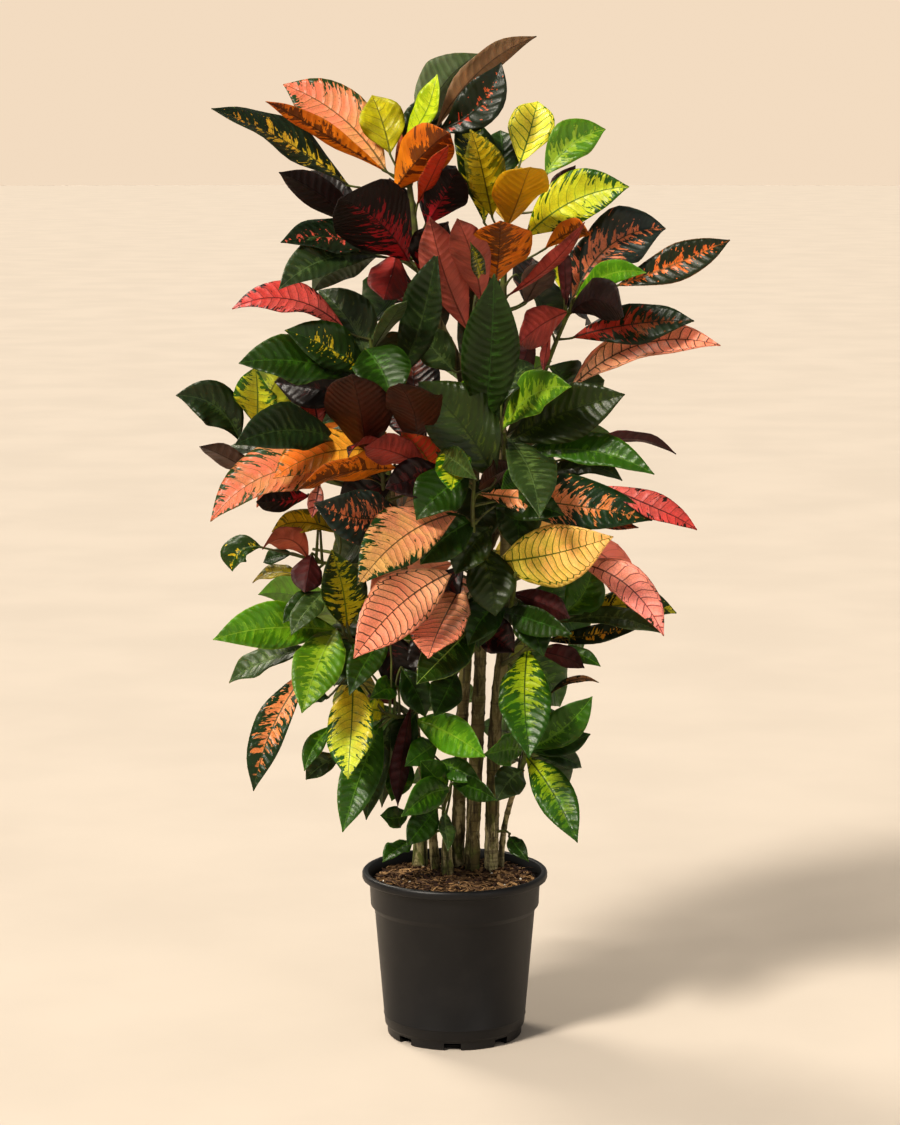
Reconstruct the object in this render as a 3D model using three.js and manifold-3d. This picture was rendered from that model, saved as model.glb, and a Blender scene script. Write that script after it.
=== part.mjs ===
// A potted croton: a nursery pot, its soil, six woody canes with a cut stub, and the leafy
// shoots that the canes carry. Millimetres, +Z up, +X to the right and +Y away from a person
// who looks at the plant from the front. The origin is the middle of the pot's underside.
import * as THREE from "three";
import * as BufferGeometryUtils from "three/addons/utils/BufferGeometryUtils.js";
import Module from "manifold-3d";

const wasm = await Module();
wasm.setup();

// ---- driving dimensions -------------------------------------------------------------------
const RIM_RADIUS = 97.4;
const POT_HEIGHT = 176;
const BASE_RADIUS = 71;
const FLOOR = 2.6;
const POT_SIDES = 32;
const DRAIN_SLOTS = 8;
const DRAIN_WIDTH = 17.5;
const DRAIN_HEIGHT = 8;
const DRAIN_TURN = -2 * Math.PI / 180;
// How far a drain slot cuts in from the foot's edge, and how far its cutter stands out.
const DRAIN_DEPTH = 12;
const DRAIN_REACH = 8;
const SOIL_LEVEL = 166;
// The soil's top: its radius, how much lower than its level it meets the pot, how far the
// dome rises, the height of its middle, and how lumpy it is at its edge and inside.
const SOIL_RADIUS = 87.2;
const SOIL_DIP = 1.5;
const SOIL_DOME = 4;
const SOIL_MIDDLE = 3;
const SOIL_EDGE_LUMPS = 0.8;
const SOIL_LUMPS = 3.2;
const SOIL_RINGS = [1, 0.74, 0.38];
// Below this height the soil rests on the pot's floor and keeps the gap from it too.
const SOIL_FOOT = 6;
const GAP = 0.3;
const CANE_FOOT = 108;
const CANE_SIDES = 8;
// A cane has a section at least this often along its height.
const CANE_STEP = 60;
const STEM_SIDES = 5;
const STEM_STEPS = 3;
// Radii along a leafy stem, as shares of the one at its foot.
const STEM_TAPER = [1, 0.85, 0.6];
const BLADE_THICKNESS = 1.8;
// How far a leaf's foot stands out from its stem where its row doesn't say.
const LEAF_START = 4;
const PETIOLE_RADIUS = 1.5;
const FOLD = 16 * Math.PI / 180;
const OUTLINE_LEAN = 1.15;
const OUTLINE_FULLNESS = 0.9;
const TIP_START = 0.8;
const TIP_PINCH = 0.3;
const NARROW_BLADE = 52;
const SLIM_BLADE = 36;
const WIDE_STATIONS = [0.16, 0.42, 0.66, 0.88];
const NARROW_STATIONS = [0.22, 0.54, 0.84];
const SLIM_STATIONS = [0.34, 0.74];
// A stalk shorter than this runs straight into its blade. A longer one ends a little before.
const SHORT_STALK = 26;
const STALK_END = 0.12;
// A blade that stands nearly upright arches towards its upper side, not upwards.
const LEAST_LIFT = 0.25;
// A stalk that runs nearly along its blade's breadth is turned by the upright instead.
const LEAST_FLAT = 0.3;
// A stalk leaves its stem this much lower than its blade starts.
const ROOT_DROP = 8;
// Corners of a leafy shoot that stand out less than this are smoothed away.
const SMOOTHING = 0.04;
// No stalk starts nearer than this to the foot of its stem.
const STEM_FOOT = 11;
// Stalks spread this far down a stem, and this far up from its foot.
const STALK_SPREAD = 20;
const FOOT_SPREAD = 8;
const GOLDEN = 0.618034;
// However far a blade is turned away, at least this share of its width shows.
const LEAST_SHOWN = 0.62;

// Leaves are placed as they are seen from the front: an eye at this distance and height sees
// a leaf's foot and tip against the upright plane through the pot's axis.
const EYE = new THREE.Vector3(0, -3100, 960);

// Shoots behind the canes mirror the ones in front through this upright plane.
const MIDDLE_DEPTH = 14;
// A leaf whose tip comes at least this much nearer than its foot has a twin behind.
const TWIN_REACH = 40;
const TWIN_WIDTH = 30;
// How a twin differs: its tip stands in by up to a share of its distance, drops or rises a
// little and comes nearer. Its blade has the sections of a narrower one.
const TWIN_LEAST_SPREAD = 0.86;
const TWIN_SPREAD_RANGE = 0.16;
const TWIN_DROP = 44;
const TWIN_DROP_SHARE = 0.6;
const TWIN_SHIFT = 10;
const TWIN_SECTIONS = 0.7;

// ---- small tools --------------------------------------------------------------------------
function vec(point) {
  return new THREE.Vector3(...point);
}

// The point at depth y that is seen at (x, z) on the upright plane through the pot's axis.
function seen(x, z, y) {
  const share = 1 + (y / -EYE.y);
  return new THREE.Vector3(x * share, y, EYE.z + (z - EYE.z) * share);
}

// A repeatable stream of numbers from 0 to 1.
function stream(seed) {
  let state = seed;
  return function next() {
    state = (state * 16807) % 2147483647;
    return state / 2147483647;
  };
}

function solidOf(geometry) {
  const bare = geometry.clone();
  bare.deleteAttribute("normal");
  bare.deleteAttribute("uv");
  const merged = BufferGeometryUtils.mergeVertices(bare, 1e-4);
  return new wasm.Manifold(new wasm.Mesh({
    numProp: 3,
    vertProperties: new Float32Array(merged.attributes.position.array),
    triVerts: new Uint32Array(merged.index.array),
  }));
}

function geometryOf(solid) {
  const mesh = solid.getMesh();
  const geometry = new THREE.BufferGeometry();
  geometry.setAttribute("position", new THREE.BufferAttribute(mesh.vertProperties, 3));
  geometry.setIndex(new THREE.BufferAttribute(mesh.triVerts, 1));
  geometry.computeVertexNormals();
  return geometry;
}

// Rings of points joined in order into one closed skin. A ring may be a single point.
function loft(rings) {
  const corners = [];
  const starts = [];
  for (const ring of rings) {
    starts.push(corners.length / 3);
    for (const point of ring) {
      corners.push(point.x, point.y, point.z);
    }
  }
  const faces = [];
  for (let step = 0; step + 1 < rings.length; step += 1) {
    const near = rings[step];
    const far = rings[step + 1];
    const count = Math.max(near.length, far.length);
    for (let side = 0; side < count; side += 1) {
      const a = starts[step] + (side % near.length);
      const b = starts[step] + ((side + 1) % near.length);
      const c = starts[step + 1] + ((side + 1) % far.length);
      const d = starts[step + 1] + (side % far.length);
      // the split runs the same way on both faces of a blade
      const flip = side % 2 === 1;
      const halves = flip ? [[a, b, d], [b, c, d]] : [[a, b, c], [a, c, d]];
      for (const half of halves) {
        if (new Set(half).size === 3) {
          faces.push(...half);
        }
      }
    }
  }
  for (const [index, ring] of [[0, rings[0]], [rings.length - 1, rings.at(-1)]]) {
    for (let corner = 1; corner + 1 < ring.length; corner += 1) {
      const fan = [starts[index], starts[index] + corner, starts[index] + corner + 1];
      faces.push(...(index === 0 ? [fan[0], fan[2], fan[1]] : fan));
    }
  }
  const geometry = new THREE.BufferGeometry();
  geometry.setAttribute("position", new THREE.Float32BufferAttribute(corners, 3));
  geometry.setIndex(faces);
  return geometry;
}

// A round rod along a smooth curve, whose radius runs through the given values.
function rod(points, radii, sides, steps) {
  const curve = new THREE.CatmullRomCurve3(points.map(vec), false, "centripetal");
  const frames = curve.computeFrenetFrames(steps, false);
  const rings = [];
  for (let step = 0; step <= steps; step += 1) {
    const share = step / steps;
    const place = share * (radii.length - 1);
    const lower = Math.min(Math.floor(place), radii.length - 2);
    const radius = THREE.MathUtils.lerp(radii[lower], radii[lower + 1], place - lower);
    const centre = curve.getPointAt(share);
    const ring = [];
    for (let side = 0; side < sides; side += 1) {
      const turn = side / sides * Math.PI * 2;
      ring.push(centre.clone()
        .addScaledVector(frames.normals[step], Math.cos(turn) * radius)
        .addScaledVector(frames.binormals[step], Math.sin(turn) * radius));
    }
    rings.push(ring);
  }
  return solidOf(loft(rings));
}

// ---- pot and soil -------------------------------------------------------------------------
// Outer profile of the pot from the underside up, as [radius, height].
const POT_OUTSIDE = [
  [BASE_RADIUS - 2, 0],
  [BASE_RADIUS, 2],
  [BASE_RADIUS + 0.6, 9.5],
  [BASE_RADIUS + 2.7, 12],
  [84.4, 135],
  [88.4, 140.5],
  [90, POT_HEIGHT - 9.5],
  [RIM_RADIUS - 1.4, POT_HEIGHT - 8.8],
  [RIM_RADIUS, POT_HEIGHT - 7],
  [RIM_RADIUS, POT_HEIGHT - 2.6],
  [RIM_RADIUS - 1.6, POT_HEIGHT - 0.4],
  [RIM_RADIUS - 3.4, POT_HEIGHT],
];
// Inner profile from the rim down.
const POT_INSIDE = [
  [91.6, POT_HEIGHT - 0.6],
  [90.4, POT_HEIGHT - 3],
  [87.8, POT_HEIGHT - 10],
  [86.2, 140],
  [82.2, 134.5],
  [BASE_RADIUS + 0.5, 12],
  [BASE_RADIUS - 1.6, 5],
  [BASE_RADIUS - 5, FLOOR],
];

function lathe(profile, sides) {
  const points = profile.map(([radius, height]) => new THREE.Vector2(radius, height));
  const geometry = new THREE.LatheGeometry(points, sides);
  geometry.rotateX(Math.PI / 2);
  return solidOf(geometry);
}

function makePot() {
  let pot = lathe([[0, 0], ...POT_OUTSIDE, ...POT_INSIDE, [0, FLOOR]], POT_SIDES);
  for (let slot = 0; slot < DRAIN_SLOTS; slot += 1) {
    const cutter = new THREE.BoxGeometry(DRAIN_DEPTH + DRAIN_REACH, DRAIN_WIDTH,
      DRAIN_HEIGHT * 2);
    cutter.translate(BASE_RADIUS + (DRAIN_REACH - DRAIN_DEPTH) / 2, 0, 0);
    cutter.rotateZ(slot / DRAIN_SLOTS * Math.PI * 2 + DRAIN_TURN);
    pot = pot.subtract(solidOf(cutter));
  }
  return pot;
}

// The soil fills the pot to a little under its rim, with a lumpy, slightly domed top.
function makeSoil() {
  const draw = stream(41);
  const sides = POT_SIDES;
  const wall = POT_INSIDE.filter(([, height]) => height < SOIL_LEVEL).reverse();
  const rings = [];
  for (const [radius, height] of wall) {
    rings.push(circle(radius - GAP, height + (height < SOIL_FOOT ? GAP : 0), sides, () => 0));
  }
  const topRadius = SOIL_RADIUS - GAP;
  for (const share of SOIL_RINGS) {
    const dome = SOIL_DOME * (1 - share * share);
    const lumps = share === 1 ? SOIL_EDGE_LUMPS : SOIL_LUMPS;
    rings.push(circle(topRadius * share, SOIL_LEVEL - SOIL_DIP + dome, sides,
      () => (draw() - 0.5) * lumps));
  }
  rings.push([new THREE.Vector3(0, 0, SOIL_LEVEL + SOIL_MIDDLE)]);
  return solidOf(loft(rings));
}

function circle(radius, height, sides, lump) {
  const ring = [];
  for (let side = 0; side < sides; side += 1) {
    const turn = side / sides * Math.PI * 2;
    ring.push(new THREE.Vector3(Math.cos(turn) * radius, Math.sin(turn) * radius,
      height + lump()));
  }
  return ring;
}

// ---- canes --------------------------------------------------------------------------------
// Each woody cane stands in the soil: the points of its middle line and its radii.
const CANES = {
  cane_main: {
    path: [[19, 25, CANE_FOOT], [19, 25, 200], [24, 25, 320], [27, 20, 430], [22, 12, 560],
      [8, 8, 690], [-20, 8, 758]],
    radii: [8.2, 7.8, 7, 6.4, 5.8, 5.2, 4.6],
  },
  cane_right: {
    path: [[38, 25, CANE_FOOT], [39.5, 25, 220], [43, 22, 330], [53, 17, 440], [52, 12, 540],
      [48, 13, 660], [49, 12, 744]],
    radii: [7.6, 7.4, 7, 6.2, 5.2, 4.8, 4.2],
  },
  cane_back: {
    path: [[2, 38, CANE_FOOT], [5, 37, 250], [11, 33, 380], [24, 30, 480], [68, 30, 590],
      [86, 22, 680]],
    radii: [7.2, 7, 6.2, 5, 4.6, 3.8],
  },
  cane_left: {
    path: [[-15, 26, CANE_FOOT], [-26, 23, 230], [-42, 20, 330], [-45, 14, 430],
      [-56, 4, 520], [-66, -2, 580]],
    radii: [5.4, 4.8, 4.2, 3.8, 3.4, 3.2],
  },
  cane_low: {
    path: [[-6, 6, CANE_FOOT], [-8, 5, 180], [-9, 5, 208]],
    radii: [7, 6.6, 4.4],
  },
  cane_thin: {
    path: [[48, 42, CANE_FOOT], [51, 36, 200], [63, 14, 262]],
    radii: [3.4, 3.2, 2.8],
  },
  cane_stub: {
    path: [[-37, 45, CANE_FOOT], [-37, 45, 170], [-36, 44, 224]],
    radii: [8.6, 8.2, 7.8],
  },
};

function makeCane({ path, radii }, extra) {
  const grown = radii.map((radius) => radius + extra);
  const steps = Math.max(4, Math.round((path.at(-1)[2] - path[0][2]) / CANE_STEP));
  return rod(path, grown, CANE_SIDES, steps);
}

// ---- leaves -------------------------------------------------------------------------------
// A blade's half width along its length, as a share of the widest place, which is a little
// beyond the middle. The blade narrows slowly towards its stalk and has a drawn-out tip.
function outline(along) {
  const full = Math.pow(Math.sin(Math.PI * Math.pow(along, OUTLINE_LEAN)), OUTLINE_FULLNESS);
  const pinch = Math.max(0, along - TIP_START) / (1 - TIP_START);
  return full * (1 - TIP_PINCH * pinch * pinch);
}

// Shares of the blade's length where its sections stand. Narrower blades have fewer.
function stationsOf(width) {
  if (width < SLIM_BLADE) {
    return SLIM_STATIONS;
  }
  return width < NARROW_BLADE ? NARROW_STATIONS : WIDE_STATIONS;
}

// Middle line and direction of the blade of one leaf. A leaf is [foot x, foot z, tip x, tip z,
// width, face, arch, out, start]: foot, tip and width as seen from the front, how its upper
// side is turned to the front in degrees (90 to the front, 0 up, -90 to the back), how high
// its middle line arches, how far its tip comes out to the front from its foot, and how far
// its foot stands out from its stem.
function bladeFrame(leaf, stemDepth, nudge, behind) {
  const [footX, footZ, tipX, tipZ, width, faceAngle, arch, out, start = LEAF_START] = leaf;
  const footDepth = stemDepth - start;
  const foot = seen(footX, footZ, footDepth + nudge.foot);
  const tip = seen(tipX, tipZ + nudge.lift, footDepth - out + nudge.tip);
  const run = tip.clone().sub(foot).normalize();
  const toFront = new THREE.Vector3(0, -1, 0).addScaledVector(run, run.y).normalize();
  const across = new THREE.Vector3().crossVectors(run, toFront);
  if (across.z < 0) {
    across.negate();
  }
  const angle = THREE.MathUtils.degToRad(faceAngle);
  const up = toFront.clone().multiplyScalar(Math.sin(angle))
    .addScaledVector(across, Math.cos(angle));
  const lift = new THREE.Vector3(0, 0, 1).addScaledVector(run, -run.z);
  const bow = lift.length() > LEAST_LIFT ? lift.normalize() : up.clone();
  const bend = foot.clone().add(tip).multiplyScalar(0.5).addScaledVector(bow, arch);
  const side = new THREE.Vector3().crossVectors(run, up);
  const shown = Math.max(LEAST_SHOWN, Math.abs(Math.sin(angle)) * Math.cos(FOLD));
  const trueWidth = width / shown;
  const stations = stationsOf(behind ? trueWidth * TWIN_SECTIONS : trueWidth);
  const frame = { foot, bend, tip, side, width: trueWidth, stations };
  if (behind) {
    mirror(frame, behind);
  }
  return frame;
}

// Moves a leaf behind the canes, with a small change of its own so that no twin is a copy.
function mirror(frame, draw) {
  const spread = TWIN_LEAST_SPREAD + draw() * TWIN_SPREAD_RANGE;
  const drop = (draw() - TWIN_DROP_SHARE) * TWIN_DROP;
  for (const point of [frame.foot, frame.bend, frame.tip]) {
    point.y = 2 * MIDDLE_DEPTH - point.y;
  }
  frame.side.y *= -1;
  frame.side.negate();
  const move = new THREE.Vector3(frame.tip.x * (spread - 1), draw() * TWIN_SHIFT, drop);
  frame.tip.add(move);
  frame.bend.addScaledVector(move, 0.5);
}

function onBlade({ foot, bend, tip, side }, along) {
  const rest = 1 - along;
  const point = foot.clone().multiplyScalar(rest * rest)
    .addScaledVector(bend, 2 * rest * along)
    .addScaledVector(tip, along * along);
  const run = bend.clone().sub(foot).multiplyScalar(rest)
    .addScaledVector(tip.clone().sub(bend), along).normalize();
  const flat = side.clone().addScaledVector(run, -side.dot(run)).normalize();
  const up = new THREE.Vector3().crossVectors(flat, run);
  return { point, flat, up };
}

// One section of a leaf: left edge, upper side, right edge, underside.
function section({ point, flat, up }, half, thick) {
  const lift = half * Math.sin(FOLD);
  const reach = half * Math.cos(FOLD);
  return [
    point.clone().addScaledVector(flat, -reach).addScaledVector(up, lift),
    point.clone().addScaledVector(up, thick / 2),
    point.clone().addScaledVector(flat, reach).addScaledVector(up, lift),
    point.clone().addScaledVector(up, -thick / 2),
  ];
}

function makeBlade(frame, root) {
  const rings = [];
  if (root) {
    const stalk = frame.foot.clone().sub(root);
    const ends = [root];
    if (stalk.length() > SHORT_STALK) {
      ends.push(frame.foot.clone().lerp(root, STALK_END));
    }
    stalk.normalize();
    let flat = frame.side.clone().addScaledVector(stalk, -frame.side.dot(stalk));
    if (flat.length() < LEAST_FLAT) {
      flat = new THREE.Vector3().crossVectors(new THREE.Vector3(0, 0, 1), stalk);
    }
    flat.normalize();
    const up = new THREE.Vector3().crossVectors(flat, stalk);
    for (const point of ends) {
      rings.push(section({ point, flat, up }, PETIOLE_RADIUS, PETIOLE_RADIUS * 2));
    }
  }
  for (const along of frame.stations) {
    const half = frame.width / 2 * outline(along);
    rings.push(section(onBlade(frame, along), half, BLADE_THICKNESS));
  }
  rings.push([frame.tip]);
  return solidOf(loft(rings));
}

// ---- leafy shoots -------------------------------------------------------------------------
// stem: points of the green stem's middle line, the first of them inside its cane.
// back: "same" puts the twins on the same stem, "own" on a mirrored stem in a piece of its own.
const SHOOTS = {
  crown_left: {
    stem: [[-20.5, 8, 758.5], [-36, 8, 810], [-42, 4, 855], [-48, 0, 905]],
    radius: 4.4,
    back: "same",
    leaf: "pink",
    leaves: [
      [-108, 890, -247, 968, 34, 35, 8, 35],
      [-70, 905, -174, 992, 58, 75, 22, -20],
      [-72, 905, -193, 978, 20, -60, 12, 75],
      [-66, 922, -84, 972, 48, 80, 4, -10],
      [-52, 935, -20, 1002, 24, 60, -12, 10],
      [-35, 945, 22, 1020, 52, -80, 20, -80],
      [-18, 945, 46, 1014, 46, 80, -25, 15],
      [-20, 945, 82, 1040, 26, -60, 40, -55],
      [-62, 885, -3, 947, 52, -85, 10, 80],
      [-38, 872, -8, 935, 18, -60, -6, 100],
      [-95, 845, -180, 905, 34, -80, 8, 65],
      [-46, 812, -120, 878, 78, -85, 14, 130, 14],
      [-62, 818, -178, 823, 32, 45, 24, 50],
      [-78, 818, -180, 786, 38, 60, 26, 90],
      [-60, 822, -75, 772, 44, -80, 4, 50],
      [-30, 850, 2, 908, 44, -85, 4, 65],
      [-35, 800, -10, 850, 40, 85, 4, 50, 26],
      [-40, 905, -28, 985, 40, 80, 0, -50],
      [-52, 822, -66, 900, 34, 80, 0, -40],
      [-46, 790, -98, 735, 42, 35, 12, -40],
    ],
  },
  crown_right: {
    stem: [[49, 12, 744.5], [50, 12, 790], [51, 6, 835], [56, 0, 880]],
    radius: 4,
    back: "same",
    leaf: "yellow",
    leaves: [
      [54, 850, 76, 912, 54, -70, 0, 100],
      [38, 858, 18, 945, 44, 75, 6, 35],
      [30, 852, 8, 968, 44, 70, 6, -20],
      [66, 912, 84, 977, 50, 80, 0, -35],
      [92, 900, 153, 947, 44, 75, 16, -20],
      [72, 838, 176, 890, 54, 75, 14, 35],
      [92, 826, 140, 856, 26, -70, 18, 80],
      [54, 778, 132, 852, 16, -60, -4, 115, 34],
      [42, 792, 46, 855, 66, -85, 0, 130, 30],
      [72, 770, 95, 812, 34, -80, 0, 50, 16],
      [95, 868, 122, 910, 28, -80, 0, -35],
      [44, 890, 46, 948, 44, 80, 0, -45],
      [62, 800, 108, 738, 42, 35, 12, -45],
    ],
  },
  right_high: {
    stem: [[86, 22, 680.5], [103, 6, 728], [118, -6, 764]],
    radius: 2.8,
    back: "same",
    leaf: "dark",
    leaves: [
      [120, 775, 146, 858, 44, 75, -10, -20],
      [128, 790, 216, 848, 62, 75, 36, -20],
      [165, 788, 281, 836, 36, 70, -2, 0],
      [122, 772, 194, 802, 24, 60, 22, 80],
      [118, 760, 174, 757, 46, -80, 24, 100],
      [120, 735, 245, 753, 38, 60, 16, 35],
      [118, 682, 272, 729, 34, 55, 34, 50],
      [116, 762, 64, 728, 38, -75, 4, 80],
      [112, 778, 104, 832, 18, 75, 0, -35],
      [114, 765, 112, 832, 14, -70, 0, 15],
      [98, 742, 90, 700, 10, -70, 4, 15],
      [80, 738, 64, 690, 26, -80, 0, 0],
      [96, 706, 142, 640, 44, 35, 12, -40],
    ],
  },
  centre_high: {
    stem: [[8, 8, 690], [16, -24, 730], [22, -38, 775]],
    radius: 3.2,
    back: "own",
    leaf: "pink",
    leaves: [
      [14, 742, -26, 858, 46, -85, 0, 90],
      [28, 770, 2, 866, 40, -85, 4, 60],
      [30, 790, 18, 838, 14, 70, 0, 100],
      [0, 700, -38, 745, 40, 80, 0, 0],
    ],
  },
  left_high: {
    stem: [[-66, -2, 580.5], [-76, -16, 650], [-86, -22, 735]],
    radius: 3.2,
    back: "same",
    leaf: "green",
    leaves: [
      [-112, 742, -229, 768, 30, 45, 46, 35],
      [-88, 706, -140, 785, 52, 75, 14, -20],
      [-86, 698, -172, 744, 44, 70, 8, 40],
      [-100, 694, -222, 700, 40, 45, 26, 50],
      [-110, 712, -178, 716, 24, 30, 10, -55],
      [-56, 695, -20, 831, 44, 70, -6, 65],
      [-85, 722, -50, 775, 18, -50, 6, 80],
      [-92, 724, -64, 666, 60, 75, 8, 80],
      [-96, 676, -186, 690, 46, 80, 6, -30],
      [-88, 690, -146, 636, 46, 35, 14, -35],
      [-80, 640, -132, 590, 44, 35, 12, -35],
    ],
  },
  left_wing: {
    stem: [[-66, -2, 575], [-130, -6, 588], [-190, -10, 612], [-208, -14, 642]],
    radius: 2.8,
    back: "own",
    leaf: "dark",
    leaves: [
      [-222, 628, -287, 676, 46, 70, 34, 15],
      [-228, 620, -274, 672, 34, -80, -14, 35],
      [-200, 592, -264, 626, 24, -60, 4, 50],
      [-204, 645, -205, 705, 46, 75, 4, 50],
      [-185, 610, -235, 622, 26, 20, 4, -45],
      [-140, 640, -150, 690, 30, 85, 0, -35],
      [-190, 606, -176, 656, 44, 80, 0, -30],
    ],
  },
  left_salmon: {
    stem: [[-56, 4, 525], [-70, -34, 566], [-75, -48, 615], [-78, -50, 645]],
    radius: 2.8,
    back: "own",
    leaf: "pink",
    leaves: [
      [-82, 588, -255, 548, 50, 55, 50, 50],
      [-64, 614, -188, 600, 40, 45, 30, 50],
      [-60, 600, -165, 588, 34, -40, 10, 80],
      [-92, 612, -106, 698, 70, -85, 0, 115],
      [-40, 625, -58, 690, 56, -85, 0, 100],
      [-72, 622, -113, 627, 14, -30, 12, 80],
      [-30, 600, -95, 632, 36, -70, 10, 100],
      [-20, 590, -55, 628, 34, 80, 6, 80],
      [-120, 628, -227, 625, 44, 55, 36, 100],
      [-60, 590, -120, 566, 44, 80, 4, -10],
      [-66, 545, -120, 500, 44, 35, 12, -45],
    ],
  },
  heart: {
    stem: [[27, 19, 450], [24, -34, 498], [18, -62, 555], [20, -66, 600]],
    radius: 3,
    back: "own",
    leaf: "pink",
    leaves: [
      [4, 554, -100, 481, 54, 65, 22, 135],
      [-50, 556, -143, 564, 58, 75, -18, 80],
      [-2, 492, -104, 403, 60, 70, 24, 125],
      [8, 480, -28, 403, 50, 55, -10, 130],
      [42, 588, -38, 690, 70, 80, 6, 5],
      [-2, 625, -4, 578, 36, 80, 0, 100],
      [-18, 616, 18, 582, 26, 75, 8, 115],
      [24, 574, 205, 540, 50, 65, 14, 20],
      [150, 582, 252, 538, 24, 60, 12, 15],
      [40, 560, 110, 545, 36, 70, 6, 50],
      [22, 548, -36, 500, 46, 75, 6, 45],
      [38, 540, 0, 490, 42, 75, 8, 32],
      [16, 596, -40, 540, 50, 70, 6, 40],
      [24, 522, 42, 446, 50, 80, 6, 30],
      [34, 476, 24, 404, 46, 78, 6, 20],
      [-10, 600, -72, 580, 40, 75, 4, 35],
      [10, 500, -34, 436, 40, 80, 4, 0],
    ],
  },
  centre_green: {
    stem: [[50, 12, 590], [50, -34, 618], [50, -52, 642]],
    radius: 3,
    back: "own",
    leaf: "green",
    leaves: [
      [46, 636, -16, 669, 34, 60, 34, 135],
      [49, 640, 118, 685, 36, 55, 30, 80],
      [54, 628, 173, 677, 54, 70, 6, 50],
      [58, 612, 205, 597, 30, 50, 22, 65],
      [54, 632, 88, 553, 42, 60, 14, 135],
      [62, 604, 22, 590, 26, -70, 6, 115],
      [66, 602, 48, 588, 20, 60, 4, 130],
      [42, 640, 36, 714, 26, 80, 0, 15],
      [48, 668, 82, 700, 30, 70, 14, -20],
      [92, 592, 173, 592, 22, 45, 16, 35],
      [120, 612, 228, 617, 12, -40, 34, -55],
      [30, 640, 40, 797, 58, 85, 0, 95, 30],
      [40, 596, 24, 520, 50, 80, 6, 35],
      [60, 592, 66, 512, 48, 80, 6, 35],
      [60, 606, 118, 556, 46, 35, 14, -30],
    ],
  },
  right_middle: {
    stem: [[53, 17, 440], [59, -30, 466], [62, -58, 500]],
    radius: 3,
    back: "own",
    leaf: "yellow",
    leaves: [
      [42, 502, 160, 528, 62, 80, 0, 115],
      [110, 540, 190, 538, 14, 30, 2, 0],
      [122, 502, 217, 425, 36, 70, 44, 50],
      [112, 448, 142, 498, 44, 85, -10, 0],
      [128, 446, 231, 452, 32, 55, 16, 15],
      [115, 440, 215, 428, 20, 50, 12, 65],
      [92, 420, 196, 436, 18, 60, 0, 35],
      [44, 452, 118, 428, 28, 70, 10, 100],
      [58, 470, 122, 444, 28, -75, 8, 65],
      [52, 462, 14, 416, 40, 75, 8, 50],
      [58, 500, 20, 452, 40, 75, 8, 40],
      [66, 462, 92, 406, 38, 75, 8, 50],
      [25, 432, 61, 400, 40, 75, 4, 22],
      [72, 468, 138, 412, 46, 40, 14, -30],
    ],
  },
  right_hanging: {
    stem: [[48, 19, 390], [66, -24, 410], [76, -44, 422]],
    radius: 2.6,
    back: "own",
    leaf: "yellow",
    leaves: [
      [76, 414, 78, 297, 54, 85, 6, 100],
      [84, 410, 138, 393, 24, -75, 2, 35],
      [108, 414, 152, 394, 14, 60, 4, 15],
      [98, 362, 151, 377, 6, 40, 14, -20],
      [70, 408, 112, 350, 40, 40, 12, -35],
    ],
  },
  right_low: {
    stem: [[63, 14, 262.5], [70, -6, 285], [76, -18, 304]],
    radius: 2.6,
    back: "same",
    leaf: "green",
    leaves: [
      [80, 306, 143, 360, 38, 80, -8, 35],
      [78, 302, 142, 322, 24, 60, -4, -20],
      [82, 300, 135, 285, 20, 60, 8, -20],
      [74, 298, 128, 206, 40, 80, 14, 80],
      [72, 304, 34, 298, 34, 80, 4, 80],
      [72, 282, 46, 252, 32, 75, 6, 50],
      [84, 310, 118, 340, 40, 80, 0, -30],
      [80, 296, 118, 246, 34, 45, 10, -40],
    ],
  },
  centre_low: {
    stem: [[27, 21, 405], [12, -24, 425], [4, -44, 440]],
    radius: 2.6,
    back: "own",
    leaf: "green",
    leaves: [
      [24, 440, -40, 374, 44, 75, 8, 100],
      [2, 385, -20, 342, 36, 80, 2, 65],
      [-6, 444, -58, 422, 38, 70, 8, 50],
      [13, 436, -50, 392, 44, 72, 6, 26],
    ],
  },
  left_green: {
    stem: [[-45, 15, 415], [-85, -20, 420], [-118, -44, 432]],
    radius: 2.6,
    back: "own",
    leaf: "green",
    leaves: [
      [-120, 430, -250, 423, 44, 65, 8, 65],
      [-122, 432, -160, 343, 50, 75, 24, 100],
      [-150, 412, -238, 377, 24, 40, 14, -20],
      [-150, 392, -211, 260, 36, 75, 24, 35],
      [-132, 360, -152, 355, 12, 40, 4, 15],
      [-112, 432, -128, 516, 48, 80, 0, 65],
      [-128, 470, -179, 448, 20, 50, 6, 35],
      [-132, 474, -171, 437, 24, 60, 8, 50],
      [-108, 418, -140, 370, 16, -70, 4, 35],
      [-100, 425, -150, 372, 40, 75, 6, 0],
      [-128, 425, -100, 366, 34, 80, 2, 20],
      [-70, 424, -128, 372, 46, 40, 14, -45],
      [-78, 436, -56, 366, 44, 75, 4, -5],
    ],
  },
  left_middle: {
    stem: [[-53, 7, 500], [-105, -18, 502], [-150, -30, 508]],
    radius: 2.6,
    back: "own",
    leaf: "dark",
    leaves: [
      [-152, 506, -202, 519, 30, -60, 26, 35],
      [-200, 518, -231, 493, 30, 60, 22, 0],
      [-168, 512, -200, 503, 14, 50, 4, -20],
      [-158, 486, -211, 482, 14, 30, 12, -20],
      [-148, 512, -156, 470, 34, -80, 4, 35],
      [-120, 532, -190, 538, 20, 40, 14, 15],
      [-150, 572, -206, 566, 28, -70, -6, 50],
      [-140, 585, -148, 550, 16, 80, 0, 35],
    ],
  },
  left_low: {
    stem: [[-42, 20, 335], [-62, -20, 344], [-74, -38, 352]],
    radius: 2.6,
    back: "own",
    leaf: "green",
    leaves: [
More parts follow.
